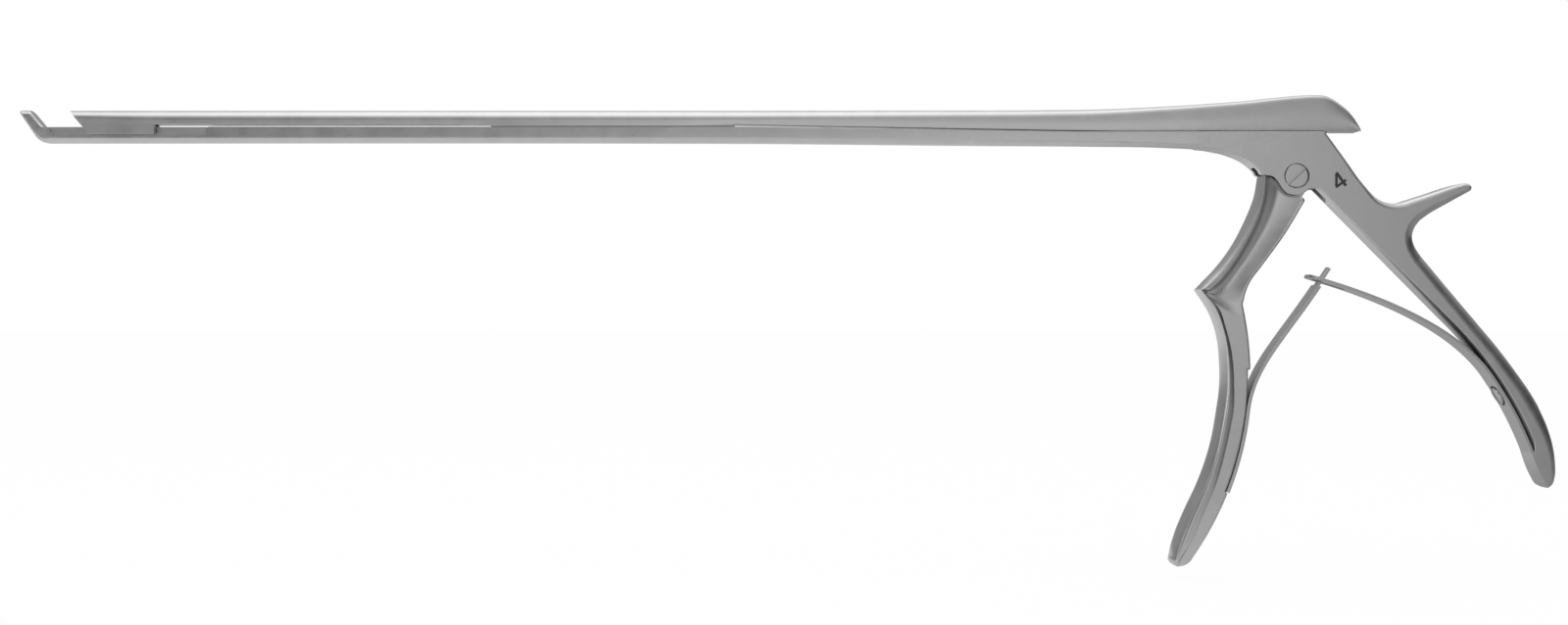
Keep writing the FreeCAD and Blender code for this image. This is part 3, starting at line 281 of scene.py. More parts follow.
outer_round = np.concatenate([
    np.full(plate_rows, 0.35),
    np.linspace(0.35, 1.15, heel_rows),
    np.interp(shaft_places, [-270, -124, -49, -22], [1.15, 1.15, 0.95, 0.42]),
])
# The section is a little narrower at the top, where the slider runs, than at its underside.
side_lean = np.interp(outer[:, 0], [-284, -278, -180, -110, -60, -22], [0.0, -0.1, -0.12, -0.08, 0.0, 0.0])
lower_shaft = carried_bar(
    "lower_shaft", inner, outer, half + 2 * side_lean, inner_round, outer_round, 0.02, side_lean,
)
window_edge = [(-283.51, 12.35), (-245.2, 12.35), (-245.2, 9.1), (-280.78, 9.1)]
run_out_edge = [(-245.95, 12.35), (-245.2, 12.35), (-245.2, 9.1), (-245.95, 9.1)]
groove_edge = [(-281.3, 9.93), (-245.2, 9.93), (-245.2, 10.73), (-281.3, 10.73)]
cut_away(lower_shaft, *(
    slab(name, edge, thick, side * middle)
    for name, edge, thick, middle in (
        ("window", window_edge, 1.0, 1.8),
        ("run_out", run_out_edge, 1.6, 1.85),
        ("groove", groove_edge, 0.2, 0.7),
    )
    for side in (-1, 1)
))
lower_shaft.data.materials.append(satin)
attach(lower_shaft, "frame")
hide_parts("frame")


# The body, the palm spur and the rear handle are one flat forging, 7 mm thick, milled on both
# sides and rounded by hand along the back. The slot for the lever is sawn up through the body,
# and the pivot screw's seat is bored into its near cheek.

def forged_plate(name, line, half, edge_round, crown=0.0, middle=0.0, mean_over=1, edge_depth=None):
    """A plate between two flat sides. At a height y over its middle plane the outline is drawn
    in by crown times (y / half) to the fourth, and along each side's edge by a quarter ellipse
    that is edge_round wide on the side and edge_depth deep, all square to the mean run of the
    outline nearby. One more ring just inside keeps the flat sides flat."""
    line = np.asarray(line, float)
    edge_round, crown = (np.broadcast_to(amount, len(line)) for amount in (edge_round, crown))
    run = np.roll(line, -1, axis=0) - line
    run /= np.hypot(*run.T)[:, None]
    heading = sum(np.roll(run, shift, axis=0) for shift in range(-mean_over, mean_over + 1))
    heading = heading + np.roll(heading, 1, axis=0)
    heading /= np.hypot(*heading.T)[:, None]
    inward = np.column_stack([-heading[:, 1], heading[:, 0]])
    turn = np.radians(np.linspace(0, 90, 9))[1:, None]
    rise = 1 - np.linspace(1, 0, 11)[:, None] ** 1.5
    edge_depth = edge_round if edge_depth is None else edge_depth
    rest = half - edge_depth[None, :]
    height = np.vstack([rise * rest, rest + edge_depth * np.sin(turn), np.full((1, len(line)), half)])
    drawn = np.vstack([
        crown * (rise * rest / half) ** 4,
        crown * (rest / half) ** 4 + edge_round * (1 - np.cos(turn)),
        crown * (rest / half) ** 4 + edge_round + 0.06,
    ])
    height = np.vstack([-height[:0:-1], height])
    drawn = np.vstack([drawn[:0:-1], drawn])
    places = line[None] + drawn[..., None] * inward[None]
    points = np.stack([places[..., 0], middle + height, places[..., 1]], axis=-1)
    around = len(line)
    ends = [np.arange(around), (len(points) - 1) * around + np.arange(around)[::-1]]
    return make_piece(name, points, woven(len(points), around, True), ends)


handle_straight, handle_radius = 44.0, 81.0


def handle_point(distance, depth=0.0):
    """Places this far down the rear handle's inner face and this deep in it: a straight at 45.4
    degrees, then an arc."""
    distance = np.atleast_1d(np.asarray(distance, float))
    bent = np.maximum(0.0, distance - handle_straight) / handle_radius
    start = np.radians(-45.4)
    straight = np.minimum(distance, handle_straight)
    chord = 2 * handle_radius * np.sin(bent / 2)
    facing = start - bent + np.pi / 2
    x = 4.6 + straight * np.cos(start) + chord * np.cos(start - bent / 2) + depth * np.cos(facing)
    z = -2.86 + straight * np.sin(start) + chord * np.sin(start - bent / 2) + depth * np.sin(facing)
    return np.column_stack([x, z])


leaf_end = 77.3
body_runs = [
    # (line, its steps, edge radius at its start and end, crown at its start and end)
    ([
        (-22.0, 6.29), (-17.8, 5.78), (-14.6, 4.92), (-11.5, 3.6), (-9.6, 2.25), (-8.5, 1.15),
    ], 60, 0.4, 0.3, 0, 0),
    ([(-8.5, 1.15), (-8.3, 0.7), (-8.05, 0.38), (-7.6, 0.2)], 9, 0.3, 0.16, 0, 0),
    ([
        (-7.6, 0.2), (-7.0, 0.07), (-5.7, -0.04), (-5.0, -0.42), (-4.4, -1.0), (-3.7, -2.05),
        (-3.0, -3.1), (-2.05, -3.94), (-0.8, -4.3), (0.15, -4.36), (0.9, -4.2), (2.0, -3.6),
        (2.6, -3.15), (3.2, -2.9), (4.6, -2.86),
    ], 90, 0.16, 0.16, 0, 0),
    (handle_point(np.linspace(0, 75.2, 40)), 166, 0.2, 0.25, 0.45, 0.95),
    (handle_point(np.linspace(75.2, leaf_end, 6)), 12, 0.25, 0.16, 0.95, 0.1),
    ([tuple(handle_point(leaf_end)[0]), (52.98, -62.16), (52.7, -62.27)], 6, 0.12, 0.12, 0.1, 0.0),
    ([
        (52.7, -62.27), (53.6, -65.4), (54.8, -68.3), (55.8, -69.9), (56.75, -70.35),
    ], 34, 0.12, 0.6, 0.0, 0.45),
    ([
        (56.75, -70.35), (57.5, -69.8), (58.35, -67.5), (58.4, -65.1), (57.95, -61.1), (56.7, -56.6),
        (54.6, -51.7),
    ], 80, 0.7, 2.7, 0.3, 0),
    ([
        (54.6, -51.7), (53.0, -49.0), (49.3, -43.7), (45.5, -38.7), (40.9, -33.2), (37.0, -28.6),
        (28.2, -18.1),
    ], 120, 2.7, 2.4, 0, 0),
    ([(28.2, -18.1), (26.7, -15.7), (26.2, -13.6), (26.7, -11.7), (27.9, -10.0)], 40, 2.4, 1.6, 0, 0),
    ([(27.9, -10.0), (29.7, -8.7), (34.0, -6.2), (38.6, -3.65)], 40, 1.6, 0.75, 0, 0),
    ([
        (38.6, -3.65), (39.25, -3.2), (39.45, -2.65), (39.1, -2.05), (38.3, -1.72), (37.4, -1.72),
    ], 26, 0.7, 0.8, 0, 0),
    ([(37.4, -1.72), (36.6, -1.9), (29.0, -4.3), (23.9, -5.9)], 50, 0.85, 1.7, 0, 0),
    ([(23.9, -5.9), (21.9, -6.2), (19.9, -5.9), (18.1, -5.05), (16.3, -3.4)], 34, 1.7, 0.8, 0, 0),
    ([(16.3, -3.4), (13.8, -0.35), (11.3, 3.2), (6.3, 10.0)], 50, 0.7, 0.5, 0, 0),
    ([(6.3, 10.0), (-8.0, 10.0), (-22.0, 10.0)], 40, 0.2, 0.12, 0, 0),
    ([(-22.0, 10.0), (-22.0, 6.29)], 6, 0.05, 0.05, 0, 0),
]
body_line = np.vstack([smooth_line(run[0], run[1])[:-1] for run in body_runs])
body_round = np.concatenate([np.linspace(run[2], run[3], run[1])[:-1] for run in body_runs])
body_crown = np.concatenate([np.linspace(run[4], run[5], run[1])[:-1] for run in body_runs])
body_depth = np.minimum(body_round, 0.35 + 0.45 * body_round)
body = forged_plate(
    "body_and_rear_handle", body_line, 3.5, body_round, body_crown, mean_over=6, edge_depth=body_depth,
)


def turned(name, profile, base, heading, count=72):
    """A turned part: the profile's (radius, height) pairs swung round an axis that starts at base
    and runs along heading; the profile starts and ends on the axis."""
    profile = np.asarray(profile, float)
    heading = np.asarray(heading, float) / np.linalg.norm(heading)
    side = np.cross(heading, (0.0, 1.0, 0.0) if abs(heading[1]) < 0.9 else (1.0, 0.0, 0.0))
    side /= np.linalg.norm(side)
    other = np.cross(heading, side)
    angle = np.linspace(0, 2 * np.pi, count, endpoint=False)
    ring = np.cos(angle)[:, None] * side + np.sin(angle)[:, None] * other
    inner = profile[1:-1]
    points = base + inner[:, None, None, 1] * heading + inner[:, None, None, 0] * ring[None]
    points = points.reshape(-1, 3)
    ends = [np.arange(count), (len(inner) - 1) * count + np.arange(count)[::-1]]
    return make_piece(name, points, woven(len(inner), count, True), ends)


cut_away(
    body,
    slab("lever_slot", [
        (-5.9, 11), (-5.9, 4.36), (-10.3, 1.2), (-10.3, -7.65), (7.69, -5.99), (6.5, 0), (4.9, 11),
    ], 1.6),
    turned("screw_seat", [
        (0, -9), (2.9, -9), (2.9, -3.58), (2.8, -3.44), (2.8, -2.4), (0, -2.4),
    ], (0, 0, 0), (0, 1, 0)),
    turned("screw_hole", [
        (0, -3), (1.74, -3), (1.74, 3.44), (1.86, 3.56), (1.86, 5), (0, 5),
    ], (0, 0, 0), (0, 1, 0)),
)
body.data.materials.append(satin)
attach(body, "frame")
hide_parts("frame")


# The slider is the upper shaft, milled from one bar: the slanted cutting nose with its cup, the
# rounded top, and the humped tail over the lever's head. It runs on the lower shaft, and its
# guide block's two cheeks hang into the side windows.

nose = np.concatenate([np.linspace(-276.69, -268, 12), np.linspace(-266, -184, 36)])
land = [-181.56, -181.5, -160, -140, -126.5, -126.44]
rear = np.concatenate([np.linspace(-124, -50, 60), np.linspace(-48.8, -22.5, 44)])
bar_places = np.concatenate([nose, land, rear])
bar_height = eased(bar_places, [
    (-277, 14.95), (-180, 14.95), (-124, 14.95), (-86, 14.96), (-56, 15.0), (-44, 15.13), (-33, 15.55),
    (-22, 16.14), (-12.1, 16.87),
])
tail_top = smooth_line([
    (-22, 16.14), (-12.1, 16.87), (-4.4, 17.67), (1.2, 18.15), (4.4, 18.25), (6.5, 18.08), (8.1, 17.4),
    (9.6, 16.4), (11.6, 14.75), (13.3, 12.6), (14.25, 10.95), (14.5, 10.3),
], 110)
slider_top = np.vstack([np.column_stack([bar_places, bar_height]), tail_top])
tail_low = np.interp(tail_top[:, 0], [-22, 5, 14.5], [-22, 5.6, 14.46])
lean = 2.77 * np.clip(1 - (bar_places + 276.69) / 22, 0, 1)
low_places = np.concatenate([bar_places + lean, tail_low])
slider_low = np.interp(
    low_places,
    [-277, -181.53, -181.52, -126.48, -126.47, -124, -49, -39.4, 15],
    [11.65, 11.65, 11.32, 11.32, 11.65, 11.62, 10.27, 10.12, 10.12],
)
slider_bottom = np.column_stack([low_places, slider_low])
slider_line = [(-290, 2.2)] + width_line[1:] + [(20, full_half)]
slider_half = np.minimum(eased(slider_top[:, 0], slider_line), full_half)
slider_round = np.interp(slider_top[:, 0], [-124, -49, -22, 6, 14.5], [2.15, 1.5, 1.05, 0.85, 0.6])
slider_belly = np.interp(slider_top[:, 0], [-150, -80, -20, 10], [0.02, 0.12, 0.2, 0.2])
slider_lean = np.interp(slider_top[:, 0], [-124, -80, -20, 14], [0.0, 0.12, 0.17, 0.04])
slider = carried_bar(
    "slider_shaft", slider_bottom, slider_top, slider_half, 0.1, slider_round, slider_belly, slider_lean,
)
cut_away(
    slider,
    slab("head_notch", [
        (0.57, 9.9), (2.47, 14.19), (2.47, 17.02), (5.91, 17.02), (5.91, 14.19), (8.2, 9.9),
    ], 1.6),
    turned("cup", [(0, 0), (1.42, 0), (1.42, 4.9), (1.1, 5.5), (0, 5.65)], (-277, 0, 13.2), (1, 0, 0)),
)
cheek_line = np.vstack([
    np.linspace((-273.88, 11.6), (-272.16, 9.56), 9)[:-1],
    smooth_line([(-272.16, 9.56), (-272.0, 9.49), (-271.8, 9.48)], 4)[:-1],
    np.linspace((-271.8, 9.48), (-257.5, 9.48), 20)[:-1],
    smooth_line([(-257.5, 9.48), (-257.36, 9.54), (-257.3, 9.68)], 4)[:-1],
    np.linspace((-257.3, 9.68), (-257.3, 12.0), 6)[:-1],
    np.linspace((-257.3, 12.0), (-273.2, 12.0), 20)[:-1],
    np.linspace((-273.2, 12.0), (-273.88, 11.6), 4)[:-1],
])
for side, place in ((-1, "near"), (1, "far")):
    cheek = forged_plate(f"guide_cheek_{place}", cheek_line, 0.645, 0.1, middle=side * 1.545)
    cheek.data.materials.append(satin)
    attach(cheek, "slider")
    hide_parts("slider")
slider.data.materials.append(satin)
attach(slider, "slider")
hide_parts("slider")


# The front lever is one forging: a finger rib 8 mm wide along its front, hollowed to a web
# behind the rib above the knee, and a flat web behind a half-round below it. Its back carries
# the sunk seat of the front leaf spring.

grip_radius = 72.0


def grip_point(distance, depth=0.0):
    """Places this far up the grip's back from its tip and this deep in it, on an arc."""
    angle = np.radians(-35.04) + np.atleast_1d(np.asarray(distance, float)) / grip_radius
    reach = grip_radius - depth
    return np.column_stack([-82.248 + reach * np.cos(angle), -44.764 + reach * np.sin(angle)])


upper_rows, lower_rows, end_rows = 90, 190, 12
front = np.vstack([
    smooth_line([
        (-7.45, 0.1), (-8.3, -4.0), (-10.4, -9.3), (-14.0, -16.1), (-17.5, -20.7), (-20.9, -24.3),
        (-21.9, -25.5),
    ], upper_rows),
    smooth_line([
        (-21.9, -25.5), (-21.5, -26.3), (-20.0, -28.8), (-18.2, -32.4), (-17.0, -36.6), (-16.5, -42.0),
        (-16.5, -47.3), (-17.4, -53.8), (-18.6, -60.3), (-21.8, -69.7), (-24.6, -75.6), (-26.8, -80.9),
        (-27.7, -84.0), (-28.0, -86.0),
    ], lower_rows)[1:],
])
ridge = np.vstack([
    smooth_line([
        (-7.0, -0.2), (-7.15, -3.0), (-7.8, -6.7), (-9.3, -10.9), (-11.3, -14.8), (-14.8, -20.4),
        (-18.2, -24.4), (-19.8, -25.6), (-21.3, -25.8),
    ], upper_rows),
    smooth_line([
        (-21.3, -25.8), (-19.6, -27.4), (-17.6, -29.5), (-15.9, -34.1), (-14.5, -40.1), (-14.0, -47.1),
        (-14.1, -53.0), (-14.7, -56.3), (-15.7, -61.0), (-18.2, -70.0), (-20.7, -75.9), (-24.1, -83.6),
        (-26.0, -86.4),
    ], lower_rows)[1:],
])
climb = np.linspace(59.92, 0.0, lower_rows)[1:]
seat = 0.55 * ((climb > 16.5) & (climb < 45.3))
back = np.vstack([
    smooth_line([
        (1.9, -5.8), (-2.4, -13.0), (-7.6, -20.2), (-10.37, -24.0), (-11.3, -26.2), (-11.993, -29.009),
    ], upper_rows),
    grip_point(climb, seat),
])
# The rear line's upper part reaches past the knee, so the rows across fan out from it.
rows = len(front)
upper = 1 - np.clip((np.arange(rows) - upper_rows + 14) / 28, 0, 1)[:, None]
upper = upper**2 * (3 - 2 * upper)

turn = np.radians(np.linspace(0, 90, 12))[None, :]
rib = np.hstack([0.5 * (1 - np.cos(turn)), 0.5 + 0.5 * np.linspace(0, 1, 15)[None, 1:]])
slope = np.linspace(0, 1, 15)[None, 1:]
half_round = np.hstack([4.0 * np.sin(turn), 3.0 + (1 - slope**2) ** 1.3])
finger_rib = np.hstack([4.0 * np.sin(turn), 4.0 - 0.08 * slope**2])
hollow = (np.linspace(0, 1, 25) ** 1.5)[None, 1:]
deep = np.clip(1 - hollow / 0.42, 0, 1)
web_upper = 2.3 + 1.62 * deep**2.6 + 0.7 * np.clip((hollow - 0.42) / 0.58, 0, 1) ** 1.4
web_lower = 3.0 + 0 * hollow
rib_half = upper * finger_rib + (1 - upper) * half_round
web_half = upper * web_upper + (1 - upper) * web_lower
edge = np.radians(np.linspace(0, 90, 7))[None, 1:]
web_reach = np.hypot(*(back - ridge).T)[:, None]
edge_round = 0.45
rib_places = front[:, None] + rib[..., None] * (ridge - front)[:, None]
shrink = (1 - edge_round / web_reach)[..., None]
web_places = ridge[:, None] + hollow[..., None] * shrink * (back - ridge)[:, None]
inwards = ((ridge - back) / web_reach)[:, None]
edge_places = back[:, None] + (edge_round * (1 - np.sin(edge)))[..., None] * inwards
last_half = web_half[:, -1:]
edge_half = last_half - edge_round * (1 - np.cos(edge))
face_half = edge_half[:, -1:] * np.array([[0.5, 0.0]])
face_places = np.repeat(back[:, None], 2, axis=1)
places = np.concatenate([rib_places, web_places, edge_places, face_places], axis=1)
thick = np.hstack([rib_half, web_half, edge_half, face_half])

# The top follows the ear and the chin of the body with a thin gap.
top_line = smooth_line([
    (-7.45, 0.1), (-7.0, -0.23), (-5.8, -0.34), (-5.2, -0.66), (-4.65, -1.2), (-4.0, -2.2),
    (-3.25, -3.35), (-2.2, -4.22), (-0.85, -4.6), (0.1, -4.66), (0.65, -4.6), (1.35, -4.72),
    (1.8, -5.1), (1.9, -5.8),
], 400)
steps = np.concatenate([[0.0], np.cumsum(np.hypot(*np.diff(top_line, axis=0).T))])
across = (places[0] - front[0]) @ (back[0] - front[0]) / np.sum((back[0] - front[0]) ** 2)
wanted = np.clip(across, 0, 1) * steps[-1]
top_places = np.column_stack([np.interp(wanted, steps, top_line[:, axis]) for axis in (0, 1)])
fade = np.clip(1 - np.arange(rows) / 40, 0, 1)[:, None, None] ** 2
places = places + fade * (top_places - places[0])[None]

# The tip closes in a half ellipse, and the top and the tip end in a flat wall across.
ending = np.radians(np.linspace(0, 78, end_rows + 1))[1:, None, None]
tip_middle = (front[-1] + back[-1]) / 2
tip_heading = (front[-1] + back[-1] - front[-8] - back[-8]) / 2
tip_heading /= np.hypot(*tip_heading)
tip_places = tip_middle + (places[-1] - tip_middle)[None] * np.cos(ending)
tip_places = tip_places + 2.1 * np.sin(ending) * tip_heading
tip_half = thick[-1][None] * (1 - 0.32 * (1 - np.cos(ending[..., 0])))
places = np.concatenate([places[:1], places, tip_places, tip_places[-1:]])
thick = np.vstack([0 * thick[:1], np.maximum(thick[:1] - 0.12, 0.0), thick[1:], tip_half, 0 * thick[:1]])
near = np.stack([places[..., 0], -thick, places[..., 1]], axis=-1)
far = near * (1, -1, 1)
grid = woven(*near.shape[:2], False)
mirrored = grid[:, ::-1] + near.shape[0] * near.shape[1]
lever = make_piece("finger_lever", np.stack([near, far]), np.vstack([grid, mirrored]))
lever.data.materials.append(satin)
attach(lever, "lever")
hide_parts("front_lever")


# The lever's tongue is the 3 mm thick part of the same forging that goes up through the slot:
# the hub that the pivot screw holds, and the arm whose round head drives the slider.

def arc(centre, radius, first, last, count):
    """Places on a circle between two angles in degrees."""
    angle = np.radians(np.linspace(first, last, count))
    return np.column_stack([centre[0] + radius * np.cos(angle), centre[1] + radius * np.sin(angle)])


tongue_line = np.vstack([
    arc((4.19, 14.71), 1.6, -56, 204, 40),
    arc((0, 0), 3.9, 111, 190, 22),
    smooth_line([
        (-5.2, -0.95), (-6.2, -1.6), (-6.9, -4.3), (-5.0, -5.6), (-1.5, -6.4), (1.3, -5.2),
    ], 26),
    arc((0, 0), 3.9, -42, 34.5, 22),
])
tongue = forged_plate("lever_tongue", tongue_line, 1.5, 0.12)
cut_away(tongue, turned("pivot_bore", [(0, -3), (1.74, -3), (1.74, 3), (0, 3)], (0, 0, 0), (0, 1, 0)))
tongue.data.materials.append(satin)
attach(tongue, "lever")
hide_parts("front_lever")


# The pivot screw is turned from stainless bar: a slotted cheese head flush with the near cheek,
# and a shank that ends flush with the far one.

polished = steel("polished_screw", (0.52, 0.52, 0.525), 0.28, 0.38, 1.0)
pivot = turned("pivot_screw_turned", [
    (0, -3.47), (2.3, -3.47), (2.5, -3.47), (2.6, -3.42), (2.66, -3.3), (2.66, -2.42), (1.7, -2.42),
    (1.7, 3.3), (1.58, 3.44), (0, 3.44),
], (0, 0, 0), (0, 1, 0))
turn = np.radians(43)
run = 4 * np.array([np.cos(turn), np.sin(turn)])
wide = 0.33 * np.array([-np.sin(turn), np.cos(turn)])
cut_away(pivot, slab("driver_slot", [run + wide, run - wide, -run - wide, -run + wide], 1.0, -3.5))
pivot.data.materials.append(polished)
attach(pivot, "frame")
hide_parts("pivot_screw")


# The two leaf springs are strips of hardened stainless spring steel, 0.8 by 6.4 mm. The rear one
# lies on the handle and ends in a slotted tip; the front one's narrow tongue passes through it.

spring_steel = steel("spring_steel", (0.49, 0.49, 0.495), 0.3, 0.4, 3.0)


def drawn_curve(first, first_pull, last_pull, last, count):
    """The cubic curve between two ends that is drawn towards two pulling places."""
    part = np.linspace(0, 1, count)[:, None]
    return (
        (1 - part) ** 3 * first
        + 3 * part * (1 - part) ** 2 * first_pull
        + 3 * part**2 * (1 - part) * last_pull
        + part**3 * last
    )


def one_step(degrees):
    """A step of one millimetre at this angle up from rearward."""
    return np.array([math.cos(math.radians(degrees)), math.sin(math.radians(degrees))])


def beside(line, thickness):
    """The line moved by a thickness to the left of its run."""
    run = np.gradient(line, axis=0)
    run /= np.hypot(*run.T)[:, None]
    return line + thickness * np.column_stack([-run[:, 1], run[:, 0]])


crossing = np.array([7.3, -23.4])
rear_run, front_run = one_step(163), one_step(56)
leaf_gap, leaf_thickness, leaf_half = 0.03, 0.8, 3.2
rear_lift = handle_point(57.8, -leaf_gap)[0]
rear_tip = crossing + 4.2 * rear_run
rear_face = np.vstack([
    handle_point(np.linspace(leaf_end - 0.02, 58.2, 24), -leaf_gap),
    drawn_curve(rear_lift, rear_lift + 10 * one_step(124.84), crossing - 20 * rear_run, crossing, 70),
    np.linspace(crossing + 0.5 * rear_run, rear_tip, 9),
])
tip_reach = np.hypot(*(rear_face - rear_tip).T)
rear_half = leaf_half - 0.9 * np.clip(1 - tip_reach / 0.9, 0, 1) ** 2
rear_leaf = carried_bar("rear_leaf", rear_face, beside(rear_face, leaf_thickness), rear_half, 0.14, 0.14)
slot_start = rear_tip - 1.2 * rear_run
slot_end = slot_start - 7.6 * rear_run
lift = 2.5 * one_step(73)
slot_corners = [slot_start + lift, slot_start - lift, slot_end - lift, slot_end + lift]
cut_away(rear_leaf, slab("leaf_slot", slot_corners, 1.4))

# The screw stands square on the leaf: its axis starts on the leaf's outer face.
leaf_top = handle_point(63.0, -leaf_gap - leaf_thickness)[0]
outwards = one_step(-148.84)
down = np.array([-outwards[1], outwards[0]])
screw_base = (leaf_top[0], 0, leaf_top[1])
screw_axis = (outwards[0], 0, outwards[1])
head_seat = [(0, -0.48), (2.6, -0.48), (2.6, 1), (0, 1)]
cut_away(rear_leaf, turned("head_seat", head_seat, screw_base, screw_axis, 48))
rear_leaf.data.materials.append(spring_steel)
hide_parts("rear_leaf_spring")


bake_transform(rear_leaf)

seat_depth = 0.52
front_lift = grip_point(35.8, seat_depth)[0]
front_crossing = crossing + 1.4 * rear_run
shoulder = front_crossing - 1.9 * front_run
front_tip = front_crossing + 3.0 * front_run
front_face = np.vstack([
    grip_point(np.linspace(16.8, 35.4, 24), seat_depth),
    drawn_curve(front_lift, front_lift + 10 * one_step(83.45), shoulder - 15 * front_run, shoulder, 70),
    np.linspace(shoulder + 0.12 * front_run, front_tip, 12),
])
past = (front_face - shoulder) @ front_run
front_half = np.where(past > 0.06, 1.15, leaf_half)
front_outer = beside(front_face, -leaf_thickness)
front_leaf = carried_bar("front_leaf", front_face, front_outer, front_half, 0.12, 0.12)
front_leaf.data.materials.append(spring_steel)
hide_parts("front_leaf_spring")
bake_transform(front_leaf)


# Two small slotted screws hold the leaves: the rear one's low round head stands on its leaf, the
# front one is sunk flush in its leaf.

rear_screw = turned("rear_screw_turned", [
    (0, -2.6), (0.93, -2.6), (0.93, -0.45), (2.1, -0.45), (2.15, -0.4), (2.15, 0.3), (2.05, 0.46),
    (1.75, 0.57), (1.0, 0.6), (0, 0.6),
], screw_base, screw_axis, 48)
top = leaf_top + 1.1 * outwards
driver_slot = [top + 3 * down, top + 3 * down - outwards, top - 3 * down - outwards, top - 3 * down]
cut_away(rear_screw, slab("rear_driver_slot", driver_slot, 0.3))
rear_screw.data.materials.append(polished)
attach(rear_screw, "frame")
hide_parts("rear_spring_screw")
front_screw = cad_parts["front_spring_screw"]
front_screw.data.materials.clear()
front_screw.data.materials.append(polished)


# The bite's size is etched on the near cheek behind the pivot screw, as one plain number. The dark
# figure stands a hair proud of the steel.

etched = steel("etched_mark", (0.09, 0.09, 0.10), 0.5, 0.65, 1.0)


def on_cheek(figure):
    """Places on the cheek of a figure drawn level about its middle, which is turned by 36 degrees."""
    turn = math.radians(36)
    figure = np.asarray(figure, float)
    across = figure[:, 0] * math.cos(turn) - figure[:, 1] * math.sin(turn)
    upwards = figure[:, 0] * math.sin(turn) + figure[:, 1] * math.cos(turn)
    return np.column_stack([9.4 + across, -1.15 + upwards])


mark = slab("size_mark", on_cheek([
    (0.3, 1.85), (0.98, 1.85), (0.98, -0.5), (1.45, -0.5), (1.45, -1.08), (0.98, -1.08), (0.98, -1.85),
    (0.32, -1.85), (0.32, -1.08), (-1.4, -1.08), (-1.4, -0.5),
]), 0.02, -3.495)
cut_away(mark, slab("opening", on_cheek([(0.32, 0.9), (0.32, -0.5), (-0.65, -0.5)]), 0.5, -3.5))
mark.data.materials.append(etched)
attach(mark, "frame")


# The table is a plain pale sheet under the instrument. It is seen white, keeps the soft shadow,
# and shows in the polished steel as a field that is brighter on the left and fades to the right.

def greys(tree, stops, source):
    """A soft run of greys over a value that goes from 0 to 1."""
    ramp = add_node(tree, "ValToRGB", {"Fac": source.outputs["Result"]})
    ramp.color_ramp.interpolation = "EASE"
    for index, (stop, grey) in enumerate(stops):
        element = ramp.color_ramp.elements[index] if index < 2 else ramp.color_ramp.elements.new(stop)
        element.position = stop
        element.color = (grey, grey, grey, 1)
    return ramp


reach, drop = 6, -0.0775
table_corners = [(-reach, -reach, drop), (reach, -reach, drop), (reach, reach, drop), (-reach, reach, drop)]
table_mesh = bpy.data.meshes.new("table")
table_mesh.from_pydata(table_corners, [], [(0, 1, 2, 3)])
table = bpy.data.objects.new("table", table_mesh)
bpy.context.collection.objects.link(table)
pale = bpy.data.materials.new("pale_sheet")
pale.use_nodes = True
sheet = pale.node_tree
board = sheet.nodes["Principled BSDF"]
feed(sheet, board.inputs["Base Color"], (0.96, 0.96, 0.96, 1))
feed(sheet, board.inputs["Roughness"], 0.8)
rays = add_node(sheet, "LightPath").outputs
spot = add_node(sheet, "SeparateXYZ", {"Vector": add_node(sheet, "TexCoord").outputs["Object"]})
sideways = add_node(sheet, "MapRange", {"Value": spot.outputs["X"], "From Min": -1.0})
lit = greys(sheet, ((0.1, 0.3), (0.3, 1.0), (0.46, 0.9), (0.53, 0.4)), sideways)
dimmer = add_node(sheet, "Math", {0: lit.outputs["Color"], 1: 1.0}, operation="SUBTRACT")
glowing = add_node(sheet, "Math", {
    0: rays["Is Glossy Ray"], 1: dimmer.outputs["Value"], 2: 1.0,
}, operation="MULTIPLY_ADD")
glow = add_node(sheet, "Emission", {"Strength": glowing.outputs["Value"]})
seen = add_node(sheet, "Math", {
    0: rays["Is Camera Ray"], 1: rays["Is Transmission Ray"],
}, operation="MAXIMUM")
also = add_node(sheet, "Math", {0: seen.outputs["Value"], 1: rays["Is Glossy Ray"]}, operation="MAXIMUM")
most = add_node(sheet, "Math", {0: also.outputs["Value"], 1: 0.95}, operation="MULTIPLY")
mixed = add_node(sheet, "MixShader", {
    "Fac": most.outputs["Value"], 1: board.outputs["BSDF"], 2: glow.outputs["Emission"],
})
feed(sheet, sheet.nodes["Material Output"].inputs["Surface"], mixed.outputs["Shader"])
table.data.materials.append(pale)


# The studio is a white room where it is seen. What the steel mirrors of it is bright overhead and
# dark in a band above the horizon. Lower down it is bright in the middle and dark to both sides,
# and behind the instrument it is dim.

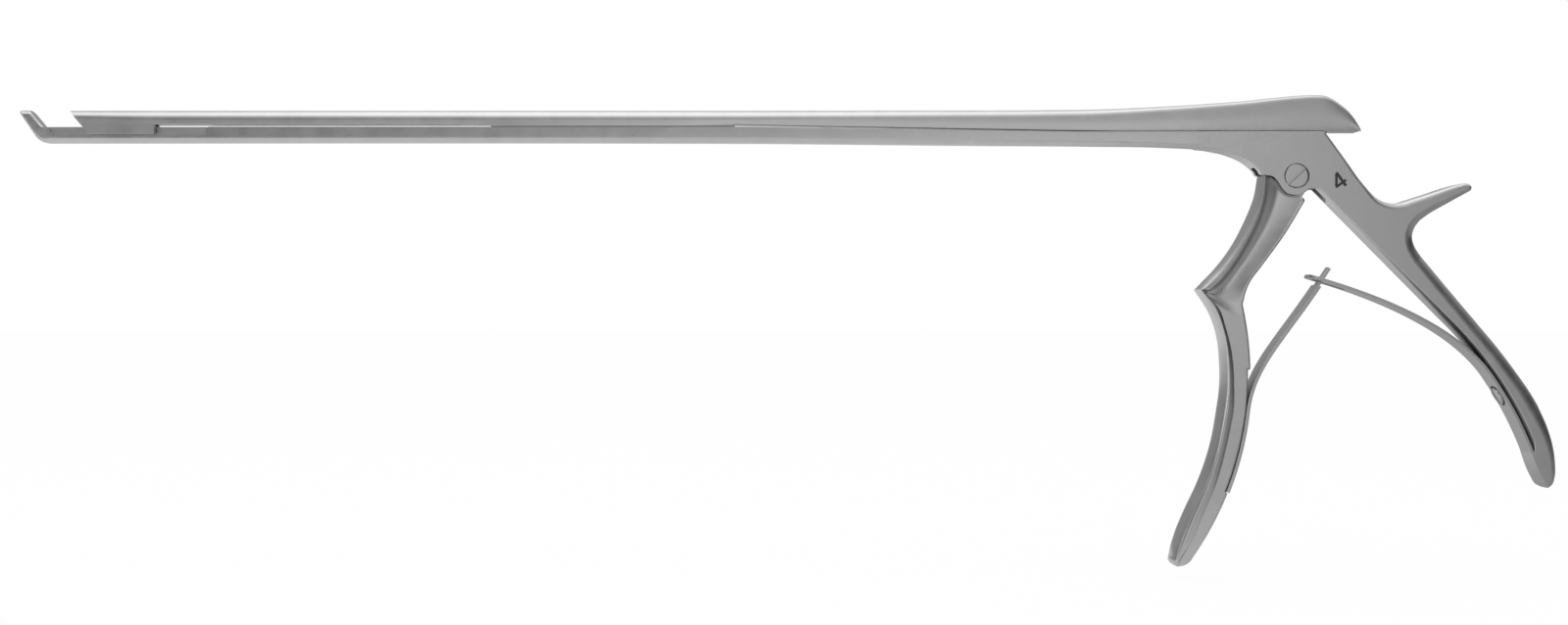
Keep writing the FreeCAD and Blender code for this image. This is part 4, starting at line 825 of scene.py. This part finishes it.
world = bpy.data.worlds.new("studio")
world.use_nodes = True
bpy.context.scene.world = world
studio = world.node_tree
parts = add_node(studio, "SeparateXYZ", {"Vector": add_node(studio, "TexCoord").outputs["Generated"]}).outputs
upward = add_node(studio, "MapRange", {"Value": parts["Z"], "From Min": -1.0})
rightward = add_node(studio, "MapRange", {"Value": parts["X"], "From Min": -1.0})
low_part = add_node(studio, "MapRange", {
    "Value": parts["Z"], "From Min": 0.25, "From Max": 0.7, "To Min": 1.0, "To Max": 0.0,
})
behind = add_node(studio, "MapRange", {
    "Value": parts["Y"], "From Min": -0.3, "From Max": 0.6,
}, interpolation_type="SMOOTHSTEP")
room = greys(studio, (
    (0.0, 1.0), (0.48, 1.05), (0.53, 0.9), (0.61, 0.28), (0.7, 0.5), (0.8, 0.95), (1.0, 1.15),
), upward)
sides = greys(studio, (
    (0.0, 0.4), (0.25, 0.15), (0.4, 0.5), (0.48, 1.3), (0.6, 2.1), (0.66, 0.5), (0.72, 0.05),
    (1.0, 0.05),
), rightward)
backdrop = greys(studio, ((0.0, 0.4), (0.5, 0.35), (0.72, 0.45), (0.9, 1.15)), upward)
lit_room = add_node(studio, "Mix", {
    "Factor": low_part.outputs["Result"], "A": room.outputs["Color"], "B": sides.outputs["Color"],
}, data_type="RGBA", blend_type="MULTIPLY")
toned = add_node(studio, "Mix", {
    "Factor": behind.outputs["Result"], "A": lit_room.outputs["Result"], "B": backdrop.outputs["Color"],
}, data_type="RGBA")
in_view = add_node(studio, "LightPath").outputs["Is Camera Ray"]
shown = add_node(studio, "Mix", {
    "Factor": in_view, "A": toned.outputs["Result"], "B": (1, 1, 1, 1),
}, data_type="RGBA")
feed(studio, studio.nodes["Background"].inputs["Strength"], 1.0)
feed(studio, studio.nodes["Background"].inputs["Color"], shown.outputs["Result"])


# Two soft lamps: a wide one overhead, and a lower one far to the left that lights the handles.
# The camera looks straight across the instrument, level with about the middle of its height.

for name, place, aim, watts, size in (
    ("lamp_above", (-0.25, -0.2, 0.8), (-0.1, 0.0, -0.02), 1.6, 0.8),
    ("lamp_left", (-1.0, -0.6, -0.1), (-0.05, 0.0, -0.04), 2.0, 0.5),
):
    lamp = bpy.data.lights.new(name, "AREA")
    lamp.energy = watts
    lamp.size = size
    holder = bpy.data.objects.new(name, lamp)
    gap = np.array(aim) - np.array(place)
    holder.location = place
    tilt = math.acos(-gap[2] / np.linalg.norm(gap))
    holder.rotation_euler = (tilt, 0, math.atan2(gap[1], gap[0]) - math.pi / 2)
    bpy.context.collection.objects.link(holder)

lens = bpy.data.cameras.new("camera")
lens.sensor_width = 36
lens.lens = 45.61
lens.clip_start = 0.01
camera = bpy.data.objects.new("camera", lens)
camera.location = (-0.1415, -0.45, -0.01716)
camera.rotation_euler = (math.pi / 2, 0, 0)
bpy.context.collection.objects.link(camera)
bpy.context.scene.camera = camera
bpy.context.scene.view_settings.view_transform = "Standard"
